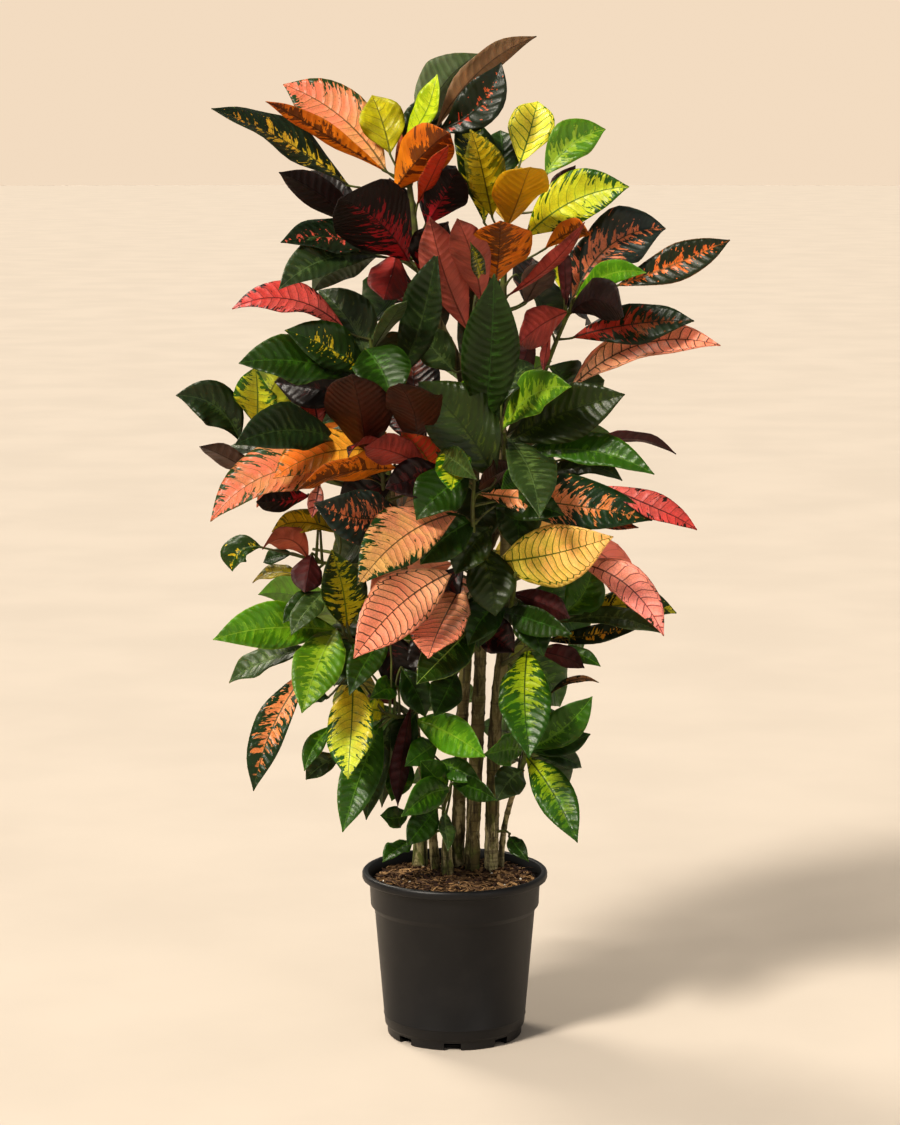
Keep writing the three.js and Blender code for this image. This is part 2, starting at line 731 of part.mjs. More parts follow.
      [-106, 382, -113, 274, 48, 70, 4, 80],
      [-70, 430, -110, 365, 34, 70, 12, 80],
      [-76, 336, -118, 216, 40, 80, 20, 80],
      [-128, 330, -158, 283, 20, 75, 4, 35],
      [-118, 298, -156, 272, 22, 60, 6, 15],
      [-68, 332, -93, 229, 30, 75, 8, 50],
      [-72, 342, -100, 352, 24, 70, 4, 65],
      [-60, 372, -85, 352, 22, 60, 6, 50],
      [-62, 352, -90, 368, 24, -70, 0, 35],
      [-46, 350, -62, 243, 20, -60, 6, 65],
      [-18, 312, -50, 288, 28, 75, 6, 50, 20],
      [-42, 336, 32, 296, 38, 75, 10, 100],
      [-16, 292, 24, 272, 26, 80, 4, 65, 26],
      [-40, 345, -64, 300, 34, 80, 4, 10],
      [-50, 300, -66, 250, 30, 80, 4, 30, 20],
      [-56, 392, -30, 340, 34, 75, 4, 20],
      [-58, 346, -104, 292, 42, 40, 12, -45],
    ],
  },
  centre_bottom: {
    stem: [[-9, 5, 208.5], [-12, -2, 232], [-10, -14, 252], [-6, -24, 264]],
    radius: 2.4,
    back: "same",
    leaf: "green",
    leaves: [
      [-4, 268, 44, 250, 24, 80, 6, 65],
      [-4, 262, -52, 234, 34, 80, 8, 80],
      [-18, 242, -50, 202, 30, 75, 4, 50, 16],
      [-10, 238, -6, 198, 16, 60, 0, 65, 16],
      [-48, 238, -78, 234, 20, 60, -8, 50],
      [-44, 206, -76, 186, 16, 30, 4, 35, 10],
      [-8, 262, -36, 292, 30, 80, 4, 35],
    ],
  },
  right_twig: {
    stem: [[39, 25, 209], [52, 18, 213], [58, 14, 211]],
    radius: 1.6,
    back: "none",
    leaf: "green",
    leaves: [
      [57, 211, 76, 186, 18, 70, 6, 35],
    ],
  },
};

// Ways to bend a leaf clear of what is already there, the smallest first: how far its foot
// and its tip move back, and how far its tip moves up, in millimetres.
const NUDGES = [];
for (const foot of [0, 10, -12, -26]) {
  for (const tip of [0, 16, -16, 32, -32, 50, -50, 70, -70, 100]) {
    for (const lift of [0, 9, -9]) {
      NUDGES.push({ foot, tip, lift });
    }
  }
}
NUDGES.sort((one, other) => Math.hypot(one.foot, one.tip, one.lift)
  - Math.hypot(other.foot, other.tip, other.lift));

function makeStem(points, radius, extra) {
  const radii = STEM_TAPER.map((share) => radius * share + extra);
  return rod(points, radii, STEM_SIDES, STEM_STEPS);
}

// The place at a length along a stem.
function alongStem(stem, length) {
  let rest = length;
  let place = null;
  for (let step = 0; step + 1 < stem.length && !place; step += 1) {
    const line = new THREE.Line3(vec(stem[step]), vec(stem[step + 1]));
    if (rest <= line.distance() || step + 2 === stem.length) {
      place = line.at(Math.min(1, rest / line.distance()), new THREE.Vector3());
    }
    rest -= line.distance();
  }
  return place;
}

// The place on a stem nearest to a point. The share, from 0 to 1, brings it down the stem, so
// that stalks spread out along it.
function nearestOnStem(stem, point, share) {
  let nearest = Infinity;
  let length = 0;
  let passed = 0;
  for (let step = 0; step + 1 < stem.length; step += 1) {
    const line = new THREE.Line3(vec(stem[step]), vec(stem[step + 1]));
    const place = line.closestPointToPoint(point, true, new THREE.Vector3());
    if (place.distanceTo(point) < nearest) {
      nearest = place.distanceTo(point);
      length = passed + place.distanceTo(line.start);
    }
    passed += line.distance();
  }
  const least = STEM_FOOT + (share * FOOT_SPREAD);
  return alongStem(stem, Math.max(least, length - (share * STALK_SPREAD)));
}

// The largest connected body of a solid: sealed hollows and loose scraps are dropped.
function mainBody(solid) {
  const bodies = solid.decompose();
  const main = bodies.reduce((best, body) => (body.volume() > best.volume() ? body : best));
  return main.asOriginal();
}

function boxesMeet(one, other) {
  return [0, 1, 2].every((axis) => one.min[axis] < other.max[axis]
    && other.min[axis] < one.max[axis]);
}

// Whether a leaf comes closer than the gap to a piece of another name.
function crosses(made, taken) {
  return taken.some((item) => item.name !== made.name && boxesMeet(made.box, item.box)
    && made.solid.minGap(item.solid, GAP) < GAP);
}

// Whether a blade, without its stalk, touches the blade of any leaf.
function crossesBlade(made, taken) {
  return taken.some((item) => item.blade && boxesMeet(made.bladeBox, item.bladeBox)
    && made.blade.minGap(item.blade, GAP) < GAP);
}

// ---- the plant ----------------------------------------------------------------------------
const COLOURS = {
  plastic: [0x2c2a2a, 0.55],
  soil: [0x5a3b22, 1],
  bark: [0x6e6245, 0.9],
  green: [0x2f5a1c, 0.45],
  dark: [0x27331f, 0.4],
  yellow: [0x8f8a24, 0.45],
  pink: [0xb05a44, 0.45],
};
const plant = new THREE.Group();

function addPiece(name, solid, look) {
  const [color, roughness] = COLOURS[look];
  const material = new THREE.MeshStandardMaterial({ color, roughness, metalness: 0 });
  const mesh = new THREE.Mesh(geometryOf(solid), material);
  mesh.name = name;
  plant.add(mesh);
}

function mirroredStem(stem) {
  return stem.map(([x, y, z], index) => (index === 0 ? [x, y, z]
    : [x, 2 * MIDDLE_DEPTH - y, z]));
}

const canes = Object.entries(CANES).map(([name, cane]) => ({
  name,
  solid: makeCane(cane, 0),
  room: makeCane(cane, GAP),
}));
const taken = canes.map(({ name, room }) => ({ name, solid: room, box: room.boundingBox() }));

// Every stem first, so that the leaves of one shoot keep clear of the stems of the others.
const stems = [];
for (const [name, shoot] of Object.entries(SHOOTS)) {
  const sides = [{ name, stem: shoot.stem, behind: false }];
  if (shoot.back === "own") {
    sides.push({ name: `${name}_back`, stem: mirroredStem(shoot.stem), behind: true });
  }
  for (const side of sides) {
    let solid = makeStem(side.stem, shoot.radius, 0);
    for (const { room } of [...canes, ...stems]) {
      solid = mainBody(solid.subtract(room));
    }
    const room = makeStem(side.stem, shoot.radius, GAP);
    stems.push({ ...side, shoot, solid, room, parts: [solid] });
    taken.push({ name: side.name, solid, box: solid.boundingBox() });
  }
}

// The shape of one leaf with one nudge: the whole of it, and its blade alone.
function shapeLeaf(item, leaf, behind, nudge) {
  const shootStem = item.shoot.stem;
  const stemDepth = nearestOnStem(shootStem, new THREE.Vector3(leaf[0], 0, leaf[1]), 0).y;
  const draw = behind ? stream(Math.round(leaf[0] * 7 + leaf[2] * 13 + 9000)) : null;
  const frame = bladeFrame(leaf, stemDepth, nudge, draw);
  const low = frame.foot.clone().add(new THREE.Vector3(0, 0, -ROOT_DROP));
  const order = item.shoot.leaves.indexOf(leaf) + (behind ? 0.5 : 0);
  const root = nearestOnStem(item.stem, low, (order * GOLDEN) % 1);
  return { name: item.name, solid: makeBlade(frame, root), blade: makeBlade(frame, null) };
}

// Keeps the first place where a leaf is clear of the other pieces, and where it can be, of
// the blades on its own stem too.
function placeLeaf(item, leaf, behind) {
  for (const strict of [true, false]) {
    for (const nudge of NUDGES) {
      const made = shapeLeaf(item, leaf, behind, nudge);
      made.box = made.solid.boundingBox();
      made.bladeBox = made.blade.boundingBox();
      if (!crosses(made, taken) && !(strict && crossesBlade(made, taken))) {
        return made;
      }
      made.solid.delete();
      made.blade.delete();
    }
  }
  return null;
}

for (const behind of [false, true]) {
  const rows = [];
  for (const item of stems) {
    const own = item.shoot.back === "own";
    if ((behind && item.shoot.back === "none") || (own && item.behind !== behind)) {
      continue;
    }
    for (const leaf of item.shoot.leaves) {
      if (!behind || (leaf[7] >= TWIN_REACH && leaf[4] >= TWIN_WIDTH)) {
        rows.push({ item, leaf });
      }
    }
  }
  // the widest leaves find their places first
  rows.sort((one, other) => other.leaf[4] - one.leaf[4]);
  for (const { item, leaf } of rows) {
    const made = placeLeaf(item, leaf, behind);
    if (made) {
      item.parts.push(made.solid);
      taken.push(made);
    }
  }
}

const pot = makePot();
let soil = makeSoil();
for (const cane of canes) {
  soil = soil.subtract(cane.room);
}
addPiece("pot", pot, "plastic");
addPiece("soil", mainBody(soil), "soil");
for (const cane of canes) {
  addPiece(cane.name, cane.solid, "bark");
}
for (const item of stems) {
  const whole = mainBody(wasm.Manifold.union(item.parts)).simplify(SMOOTHING);
  addPiece(item.name, mainBody(whole), item.shoot.leaf);
}

export default plant;
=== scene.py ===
import math
import random
from collections import namedtuple

import bpy
import numpy as np
from bpy.props import FloatProperty, FloatVectorProperty, IntProperty, PointerProperty
from bpy.types import Operator, Panel, PropertyGroup
from mathutils import Matrix, Vector, kdtree, noise


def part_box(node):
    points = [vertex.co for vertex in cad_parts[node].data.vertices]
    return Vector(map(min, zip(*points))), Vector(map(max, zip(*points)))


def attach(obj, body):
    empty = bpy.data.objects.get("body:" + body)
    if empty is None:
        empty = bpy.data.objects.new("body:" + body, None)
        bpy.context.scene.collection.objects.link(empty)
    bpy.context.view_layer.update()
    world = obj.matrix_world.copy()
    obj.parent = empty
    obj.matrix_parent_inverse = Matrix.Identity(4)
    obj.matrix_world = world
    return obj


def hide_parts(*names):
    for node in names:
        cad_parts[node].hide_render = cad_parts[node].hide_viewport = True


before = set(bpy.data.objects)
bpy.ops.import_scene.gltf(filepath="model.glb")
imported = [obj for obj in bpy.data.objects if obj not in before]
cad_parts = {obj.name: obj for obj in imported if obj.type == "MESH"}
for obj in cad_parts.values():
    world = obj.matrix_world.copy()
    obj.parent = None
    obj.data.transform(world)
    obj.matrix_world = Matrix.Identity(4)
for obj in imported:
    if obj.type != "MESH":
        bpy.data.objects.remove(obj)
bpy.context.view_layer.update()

bl_info = {
    "name": "Potted Croton",
    "version": (1, 0, 0),
    "blender": (4, 5, 0),
    "location": "3D View > Sidebar > Croton",
    "description": "Gives the croton its leaves, bark, soil and pot",
    "category": "Object",
}

MM = 0.001
BODY = "root"


# ---- leaf colours ---------------------------------------------------------------------------
# ground: the blade's own colour. blotch and tip: its patches near the foot and near the tip.
# vein: midrib and veins. under: the underside. amount: share of the blade that patches cover.
# spots: how many small dots. show: how much of the patches shows on the underside.
# lean: how far the patches keep to the foot of the blade.
Tone = namedtuple("Tone", "ground blotch tip vein under amount spots show lean", defaults=(0.35,))
TONES = {
    "bright_lime": Tone("a4bc10", "c4d81c", "d2e02c", "7a9a14", "b4c028", 0.5, 0, 0.3),
    "lime": Tone("a09c08", "bcb40e", "c8c014", "5f6010", "a8a010", 0.5, 0, 0.3),
    "bright_green": Tone("4a7c10", "6c9a1a", "5c8c16", "84a832", "567424", 0.3, 0.05, 0.3),
    "green_light": Tone("4c7614", "98b42c", "7c9c24", "86a43c", "627a30", 0.3, 0.15, 0.3),
    "green": Tone("2e5608", "567f14", "44700e", "58801f", "4e6628", 0.14, 0.12, 0.3),
    "green_dark": Tone("203a07", "365e10", "2c500c", "3e6018", "424e26", 0.12, 0.08, 0.2),
    "green_glossy": Tone("1e3606", "2c5010", "264a0c", "34581c", "3e4c24", 0.1, 0.02, 0.2),
    "green_spotted": Tone("203a08", "c4b018", "c0a81c", "34561c", "46522a", 0.1, 0.5, 0.3),
    "green_yellow": Tone("1e3608", "c8b81c", "a8a018", "4f6a14", "5a5e2a", 0.4, 0.4, 0.4, 0.5),
    "green_rib": Tone("223e0a", "44701a", "305a12", "98b454", "4a6230", 0.12, 0.05, 0.3),
    "yellow_green": Tone("2c5a0a", "ccc424", "b0b828", "3f6a18", "7a8030", 0.6, 0.3, 0.5, 0.5),
    "yellow_veined": Tone("4a7c10", "fff04c", "f8ea50", "3f741a", "dccc3c", 0.94, 0.05, 0.7, 0.2),
    "olive_yellow": Tone("6a6c0c", "b0a410", "c0a818", "4f5410", "968c14", 0.6, 0.1, 0.5),
    "ochre": Tone("9a7e0c", "d4a40c", "cca414", "4a4810", "f2b80c", 0.75, 0.05, 0.6),
    "olive_dark": Tone("26360a", "44540f", "36460c", "2c3a10", "444a26", 0.15, 0.15, 0.2),
    "checker": Tone("2a5208", "a4b41c", "4a740e", "20420a", "566624", 0.42, 0.12, 0.4, 0.8),
    "dark_yellow": Tone("16260c", "c4b02c", "c98f2a", "3a3c16", "5a4640", 0.2, 0.6, 0.3, 0.5),
    "dark_red_spots": Tone("172210", "c8452a", "c25a2a", "1e2814", "3a3028", 0.02, 0.3, 0.3, 0.3),
    "dark_pink_spots": Tone("14240f", "d0584a", "c85a4a", "2a3a1c", "3a3430", 0.12, 0.5, 0.3),
    "dark_orange_rib": Tone("1e2a12", "d8702a", "cc6a2c", "8a5a28", "4a3428", 0.2, 0.4, 0.3, 0.4),
    "dark_red_base": Tone("16280e", "b83a28", "8a4a1c", "20200f", "4a302a", 0.42, 0.2, 0.3, 1.1),
    "grey_glossy": Tone("2c3e1e", "526636", "46582e", "566a40", "566248", 0.15, 0.1, 0.2),
    "grey_green": Tone("34481f", "5a6e38", "4c6030", "5c7040", "606c4a", 0.18, 0.1, 0.2),
    "grey_dark": Tone("1e2f12", "3a4e20", "2e421a", "3a4c22", "48523a", 0.12, 0.1, 0.2),
    "grey_spots": Tone("222e26", "d8825a", "d0784c", "3a4430", "5a5a50", 0.26, 0.55, 0.3, 0.7),
    "grey_salmon": Tone("2e3a30", "d88a62", "d8765a", "465038", "6a6058", 0.4, 0.4, 0.3, 0.8),
    "salmon_green": Tone("2a4520", "f0b474", "e07c60", "6a5a2c", "b86a48", 0.72, 0.35, 0.5, 0.5),
    "salmon_veined": Tone("2a3414", "fab48a", "f29478", "2a2a14", "cc6a54", 0.93, 0.1, 0.5, 0.3),
    "salmon_pink": Tone("33301c", "faa890", "f49488", "4a1e18", "cc6a5c", 0.95, 0.1, 0.5, 0.2),
    "salmon_base": Tone("14300f", "e89868", "c87a40", "3a4a20", "5a4a38", 0.42, 0.5, 0.4, 1.1),
    "salmon_half": Tone("183a10", "f09c78", "d8a868", "3a3a1c", "7a5a3a", 0.66, 0.4, 0.4, 0.9),
    "yellow_half": Tone("1f4a10", "dcc234", "c4cc38", "33601a", "6a7434", 0.6, 0.3, 0.4, 0.3),
    "salmon_under": Tone("2a1c14", "c8705a", "b05a48", "5a2a20", "b8624a", 0.5, 0.2, 0.3),
    "peach_veined": Tone("3a7016", "f0dc5c", "f2b46c", "34600f", "c4a44c", 0.95, 0.1, 0.6, 0.1),
    "orange_yellow": Tone("5a4a14", "e8a838", "e07a2c", "7a5a1c", "c07a30", 0.8, 0.2, 0.6),
    "orange_brown": Tone("3a2412", "c0682a", "a8501e", "4a2a12", "8a4a24", 0.6, 0.2, 0.5),
    "orange_under": Tone("9a480c", "4a1c08", "361406", "3a1c08", "e4860e", 0.3, 0.1, 0.8, -0.8),
    "red_orange": Tone("5a2a12", "d0521e", "c8402a", "7a6a20", "b8401c", 0.8, 0.1, 0.6),
    "red_under": Tone("241410", "a02c26", "8a2420", "3a1412", "8a2a24", 0.4, 0.1, 0.4),
    "pink_red": Tone("2a1812", "d86a60", "c84a44", "240c0c", "a84a44", 0.7, 0.2, 0.5, 0.2),
    "pink_red_under": Tone("241612", "c05a4a", "a8403a", "4a1c1a", "b0483e", 0.4, 0.1, 0.3),
    "pink_under": Tone("2a1c14", "d07a6a", "c06054", "4a2422", "c86a5c", 0.4, 0.05, 0.2),
    "crimson_under": Tone("160b09", "b4202c", "8a1a22", "1a0a0a", "1c0d0b", 0.22, 0.12, 0.9, 1.3),
    "black_crimson": Tone("140b09", "a01e26", "7a1820", "1c0a0a", "1c0d0b", 0.25, 0.2, 0.7, 0.9),
    "black_under": Tone("160e0a", "5a1c1a", "3a1412", "1c0e0c", "261614", 0.1, 0.05, 0.2),
    "maroon_under": Tone("24100e", "6a2420", "501a1a", "2e1010", "4c1e1e", 0.3, 0.1, 0.3),
    "brown_under": Tone("1c0c05", "62260e", "522010", "2c1208", "46200c", 0.3, 0.1, 0.3),
    "grey_brown_under": Tone("2a2420", "7a4a3a", "6a4034", "3a2c26", "6a5448", 0.2, 0.1, 0.2),
    "tan_under": Tone("3a3420", "a8764a", "8a6040", "5a4428", "8a6a4a", 0.3, 0.1, 0.3),
    "dry": Tone("1e2610", "8a6038", "9a7048", "3a3018", "4a3a24", 0.42, 0, 0.9, -1.3),
}


# ---- shoots and their leaves ----------------------------------------------------------------
# A shoot has the points of its green stem, the radius at its foot, where its other leaves are
# (back: "same" behind on the same stem, "own" on a stem of their own in a node of their own,
# "none" nowhere), and the rows of its leaves.
Shoot = namedtuple("Shoot", "stem radius back leaves")
# A leaf, in millimetres and degrees: its foot, tip and width as seen from the front, how its
# upper side is turned (face: 90 to the front, 0 up, -90 to the back), how high its middle line
# arches, how far its tip comes out to the front from its foot, its colours, and how far its
# foot stands out from its stem.
Leaf = namedtuple("Leaf", "foot_x foot_z tip_x tip_z width face arch out tone start",
                  defaults=(4,))
SHOOTS = {
    "crown_left": Shoot(((-20.5, 8, 758.5), (-36, 8, 810), (-42, 4, 855), (-48, 0, 905)), 4.4, "same", (
        (-108, 890, -247, 968, 34, 35, 8, 35, "dark_yellow"),
        (-70, 905, -174, 992, 58, 75, 22, -20, "salmon_green"),
        (-72, 905, -193, 978, 20, -60, 12, 75, "orange_under"),
        (-66, 922, -84, 972, 48, 80, 4, -10, "lime"),
        (-52, 935, -20, 1002, 24, 60, -12, 10, "bright_lime"),
        (-35, 945, 22, 1020, 52, -80, 20, -80, "grey_green"),
        (-18, 945, 46, 1014, 46, 80, -25, 15, "dark_red_spots"),
        (-20, 945, 82, 1040, 26, -60, 40, -55, "tan_under"),
        (-62, 885, -3, 947, 52, -85, 10, 80, "orange_under"),
        (-38, 872, -8, 935, 18, -60, -6, 100, "red_orange"),
        (-95, 845, -180, 905, 34, -80, 8, 65, "black_under"),
        (-46, 812, -120, 878, 78, -85, 14, 130, "crimson_under", 14),
        (-62, 818, -178, 823, 32, 45, 24, 50, "dark_pink_spots"),
        (-78, 818, -180, 786, 38, 60, 26, 90, "grey_glossy"),
        (-60, 822, -75, 772, 44, -80, 4, 50, "red_under"),
        (-30, 850, 2, 908, 44, -85, 4, 65, "crimson_under"),
        (-35, 800, -10, 850, 40, 85, 4, 50, "black_crimson", 26),
        (-40, 905, -28, 985, 40, 80, 0, -50, "grey_dark"),
        (-52, 822, -66, 900, 34, 80, 0, -40, "crimson_under"),
        (-46, 790, -98, 735, 42, 35, 12, -40, "green_dark"),
    )),
    "crown_right": Shoot(((49, 12, 744.5), (50, 12, 790), (51, 6, 835), (56, 0, 880)), 4, "same", (
        (54, 850, 76, 912, 54, -70, 0, 100, "ochre"),
        (38, 858, 18, 945, 44, 75, 6, 35, "olive_yellow"),
        (30, 852, 8, 968, 44, 70, 6, -20, "green_yellow"),
        (66, 912, 84, 977, 50, 80, 0, -35, "yellow_veined"),
        (92, 900, 153, 947, 44, 75, 16, -20, "green_light"),
        (72, 838, 176, 890, 54, 75, 14, 35, "yellow_green"),
        (92, 826, 140, 856, 26, -70, 18, 80, "orange_under"),
        (54, 778, 132, 852, 16, -60, -4, 115, "pink_red_under", 34),
        (42, 792, 46, 855, 66, -85, 0, 130, "orange_under", 30),
        (72, 770, 95, 812, 34, -80, 0, 50, "grey_brown_under", 16),
        (95, 868, 122, 910, 28, -80, 0, -35, "maroon_under"),
        (44, 890, 46, 948, 44, 80, 0, -45, "green_dark"),
        (62, 800, 108, 738, 42, 35, 12, -45, "olive_dark"),
    )),
    "right_high": Shoot(((86, 22, 680.5), (103, 6, 728), (118, -6, 764)), 2.8, "same", (
        (120, 775, 146, 858, 44, 75, -10, -20, "grey_salmon"),
        (128, 790, 216, 848, 62, 75, 36, -20, "grey_spots"),
        (165, 788, 281, 836, 36, 70, -2, 0, "dark_orange_rib"),
        (122, 772, 194, 802, 24, 60, 22, 80, "bright_green"),
        (118, 760, 174, 757, 46, -80, 24, 100, "black_under"),
        (120, 735, 245, 753, 38, 60, 16, 35, "dark_red_base"),
        (118, 682, 272, 729, 34, 55, 34, 50, "salmon_veined"),
        (116, 762, 64, 728, 38, -75, 4, 80, "pink_red_under"),
        (112, 778, 104, 832, 18, 75, 0, -35, "yellow_green"),
        (114, 765, 112, 832, 14, -70, 0, 15, "maroon_under"),
        (98, 742, 90, 700, 10, -70, 4, 15, "pink_red_under"),
        (80, 738, 64, 690, 26, -80, 0, 0, "maroon_under"),
        (96, 706, 142, 640, 44, 35, 12, -40, "green_dark"),
    )),
    "centre_high": Shoot(((8, 8, 690), (16, -24, 730), (22, -38, 775)), 3.2, "own", (
        (14, 742, -26, 858, 46, -85, 0, 90, "pink_under"),
        (28, 770, 2, 866, 40, -85, 4, 60, "pink_under"),
        (30, 790, 18, 838, 14, 70, 0, 100, "green_yellow"),
        (0, 700, -38, 745, 40, 80, 0, 0, "grey_green"),
    )),
    "left_high": Shoot(((-66, -2, 580.5), (-76, -16, 650), (-86, -22, 735)), 3.2, "same", (
        (-112, 742, -229, 768, 30, 45, 46, 35, "pink_red"),
        (-88, 706, -140, 785, 52, 75, 14, -20, "grey_glossy"),
        (-86, 698, -172, 744, 44, 70, 8, 40, "green_spotted"),
        (-100, 694, -222, 700, 40, 45, 26, 50, "green_dark"),
        (-110, 712, -178, 716, 24, 30, 10, -55, "green_light"),
        (-56, 695, -20, 831, 44, 70, -6, 65, "grey_dark"),
        (-85, 722, -50, 775, 18, -50, 6, 80, "grey_green"),
        (-92, 724, -64, 666, 60, 75, 8, 80, "green_dark"),
        (-96, 676, -186, 690, 46, 80, 6, -30, "black_under"),
        (-88, 690, -146, 636, 46, 35, 14, -35, "green_dark"),
        (-80, 640, -132, 590, 44, 35, 12, -35, "green"),
    )),
    "left_wing": Shoot(((-66, -2, 575), (-130, -6, 588), (-190, -10, 612), (-208, -14, 642)), 2.8, "own", (
        (-222, 628, -287, 676, 46, 70, 34, 15, "grey_dark"),
        (-228, 620, -274, 672, 34, -80, -14, 35, "brown_under"),
        (-200, 592, -264, 626, 24, -60, 4, 50, "grey_brown_under"),
        (-204, 645, -205, 705, 46, 75, 4, 50, "yellow_green"),
        (-185, 610, -235, 622, 26, 20, 4, -45, "olive_dark"),
        (-140, 640, -150, 690, 30, 85, 0, -35, "pink_red"),
        (-190, 606, -176, 656, 44, 80, 0, -30, "green_dark"),
    )),
    "left_salmon": Shoot(((-56, 4, 525), (-70, -34, 566), (-75, -48, 615), (-78, -50, 645)), 2.8, "own", (
        (-82, 588, -255, 548, 50, 55, 50, 50, "salmon_green"),
        (-64, 614, -188, 600, 40, 45, 30, 50, "orange_yellow"),
        (-60, 600, -165, 588, 34, -40, 10, 80, "orange_under"),
        (-92, 612, -106, 698, 70, -85, 0, 115, "brown_under"),
        (-40, 625, -58, 690, 56, -85, 0, 100, "brown_under"),
        (-72, 622, -113, 627, 14, -30, 12, 80, "pink_red_under"),
        (-30, 600, -95, 632, 36, -70, 10, 100, "pink_red_under"),
        (-20, 590, -55, 628, 34, 80, 6, 80, "red_orange"),
        (-120, 628, -227, 625, 44, 55, 36, 100, "grey_dark"),
        (-60, 590, -120, 566, 44, 80, 4, -10, "black_under"),
        (-66, 545, -120, 500, 44, 35, 12, -45, "olive_dark"),
    )),
    "heart": Shoot(((27, 19, 450), (24, -34, 498), (18, -62, 555), (20, -66, 600)), 3, "own", (
        (4, 554, -100, 481, 54, 65, 22, 135, "salmon_half"),
        (-50, 556, -143, 564, 58, 75, -18, 80, "grey_spots"),
        (-2, 492, -104, 403, 60, 70, 24, 125, "salmon_veined"),
        (8, 480, -28, 403, 50, 55, -10, 130, "salmon_veined"),
        (42, 588, -38, 690, 70, 80, 6, 5, "olive_dark"),
        (-2, 625, -4, 578, 36, 80, 0, 100, "yellow_green"),
        (-18, 616, 18, 582, 26, 75, 8, 115, "grey_green"),
        (24, 574, 205, 540, 50, 65, 14, 20, "salmon_base"),
        (150, 582, 252, 538, 24, 60, 12, 15, "pink_red"),
        (40, 560, 110, 545, 36, 70, 6, 50, "green_dark"),
        (22, 548, -36, 500, 46, 75, 6, 45, "green_dark"),
        (38, 540, 0, 490, 42, 75, 8, 32, "olive_dark"),
        (16, 596, -40, 540, 50, 70, 6, 40, "green_dark"),
        (24, 522, 42, 446, 50, 80, 6, 30, "olive_dark"),
        (34, 476, 24, 404, 46, 78, 6, 20, "green_dark"),
        (-10, 600, -72, 580, 40, 75, 4, 35, "maroon_under"),
        (10, 500, -34, 436, 40, 80, 4, 0, "black_under"),
    )),
    "centre_green": Shoot(((50, 12, 590), (50, -34, 618), (50, -52, 642)), 3, "own", (
        (46, 636, -16, 669, 34, 60, 34, 135, "bright_green"),
        (49, 640, 118, 685, 36, 55, 30, 80, "green_light"),
        (54, 628, 173, 677, 54, 70, 6, 50, "olive_dark"),
        (58, 612, 205, 597, 30, 50, 22, 65, "green"),
        (54, 632, 88, 553, 42, 60, 14, 135, "grey_green"),
        (62, 604, 22, 590, 26, -70, 6, 115, "brown_under"),
        (66, 602, 48, 588, 20, 60, 4, 130, "green"),
        (42, 640, 36, 714, 26, 80, 0, 15, "grey_dark"),
        (48, 668, 82, 700, 30, 70, 14, -20, "grey_glossy"),
        (92, 592, 173, 592, 22, 45, 16, 35, "grey_green"),
        (120, 612, 228, 617, 12, -40, 34, -55, "maroon_under"),
        (30, 640, 40, 797, 58, 85, 0, 95, "green_glossy", 30),
        (40, 596, 24, 520, 50, 80, 6, 35, "olive_dark"),
        (60, 592, 66, 512, 48, 80, 6, 35, "green_dark"),
        (60, 606, 118, 556, 46, 35, 14, -30, "grey_green"),
    )),
    "right_middle": Shoot(((53, 17, 440), (59, -30, 466), (62, -58, 500)), 3, "own", (
        (42, 502, 160, 528, 62, 80, 0, 115, "peach_veined"),
        (110, 540, 190, 538, 14, 30, 2, 0, "orange_brown"),
        (122, 502, 217, 425, 36, 70, 44, 50, "salmon_pink"),
        (112, 448, 142, 498, 44, 85, -10, 0, "green"),
        (128, 446, 231, 452, 32, 55, 16, 15, "green_yellow"),
        (115, 440, 215, 428, 20, 50, 12, 65, "grey_green"),
        (92, 420, 196, 436, 18, 60, 0, 35, "dark_yellow"),
        (44, 452, 118, 428, 28, 70, 10, 100, "green_glossy"),
        (58, 470, 122, 444, 28, -75, 8, 65, "maroon_under"),
        (52, 462, 14, 416, 40, 75, 8, 50, "green_dark"),
        (58, 500, 20, 452, 40, 75, 8, 40, "olive_dark"),
        (66, 462, 92, 406, 38, 75, 8, 50, "green_dark"),
        (25, 432, 61, 400, 40, 75, 4, 22, "maroon_under"),
        (72, 468, 138, 412, 46, 40, 14, -30, "green"),
    )),
    "right_hanging": Shoot(((48, 19, 390), (66, -24, 410), (76, -44, 422)), 2.6, "own", (
        (76, 414, 78, 297, 54, 85, 6, 100, "checker"),
        (84, 410, 138, 393, 24, -75, 2, 35, "maroon_under"),
        (108, 414, 152, 394, 14, 60, 4, 15, "green"),
        (98, 362, 151, 377, 6, 40, 14, -20, "dry"),
        (70, 408, 112, 350, 40, 40, 12, -35, "green"),
    )),
    "right_low": Shoot(((63, 14, 262.5), (70, -6, 285), (76, -18, 304)), 2.6, "same", (
        (80, 306, 143, 360, 38, 80, -8, 35, "green"),
        (78, 302, 142, 322, 24, 60, -4, -20, "green_dark"),
        (82, 300, 135, 285, 20, 60, 8, -20, "green_dark"),
        (74, 298, 128, 206, 40, 80, 14, 80, "checker"),
        (72, 304, 34, 298, 34, 80, 4, 80, "green"),
        (72, 282, 46, 252, 32, 75, 6, 50, "grey_green"),
        (84, 310, 118, 340, 40, 80, 0, -30, "green"),
        (80, 296, 118, 246, 34, 45, 10, -40, "green_dark"),
    )),
    "centre_low": Shoot(((27, 21, 405), (12, -24, 425), (4, -44, 440)), 2.6, "own", (
        (24, 440, -40, 374, 44, 75, 8, 100, "green_rib"),
        (2, 385, -20, 342, 36, 80, 2, 65, "green_dark"),
        (-6, 444, -58, 422, 38, 70, 8, 50, "green"),
        (13, 436, -50, 392, 44, 72, 6, 26, "black_under"),
    )),
    "left_green": Shoot(((-45, 15, 415), (-85, -20, 420), (-118, -44, 432)), 2.6, "own", (
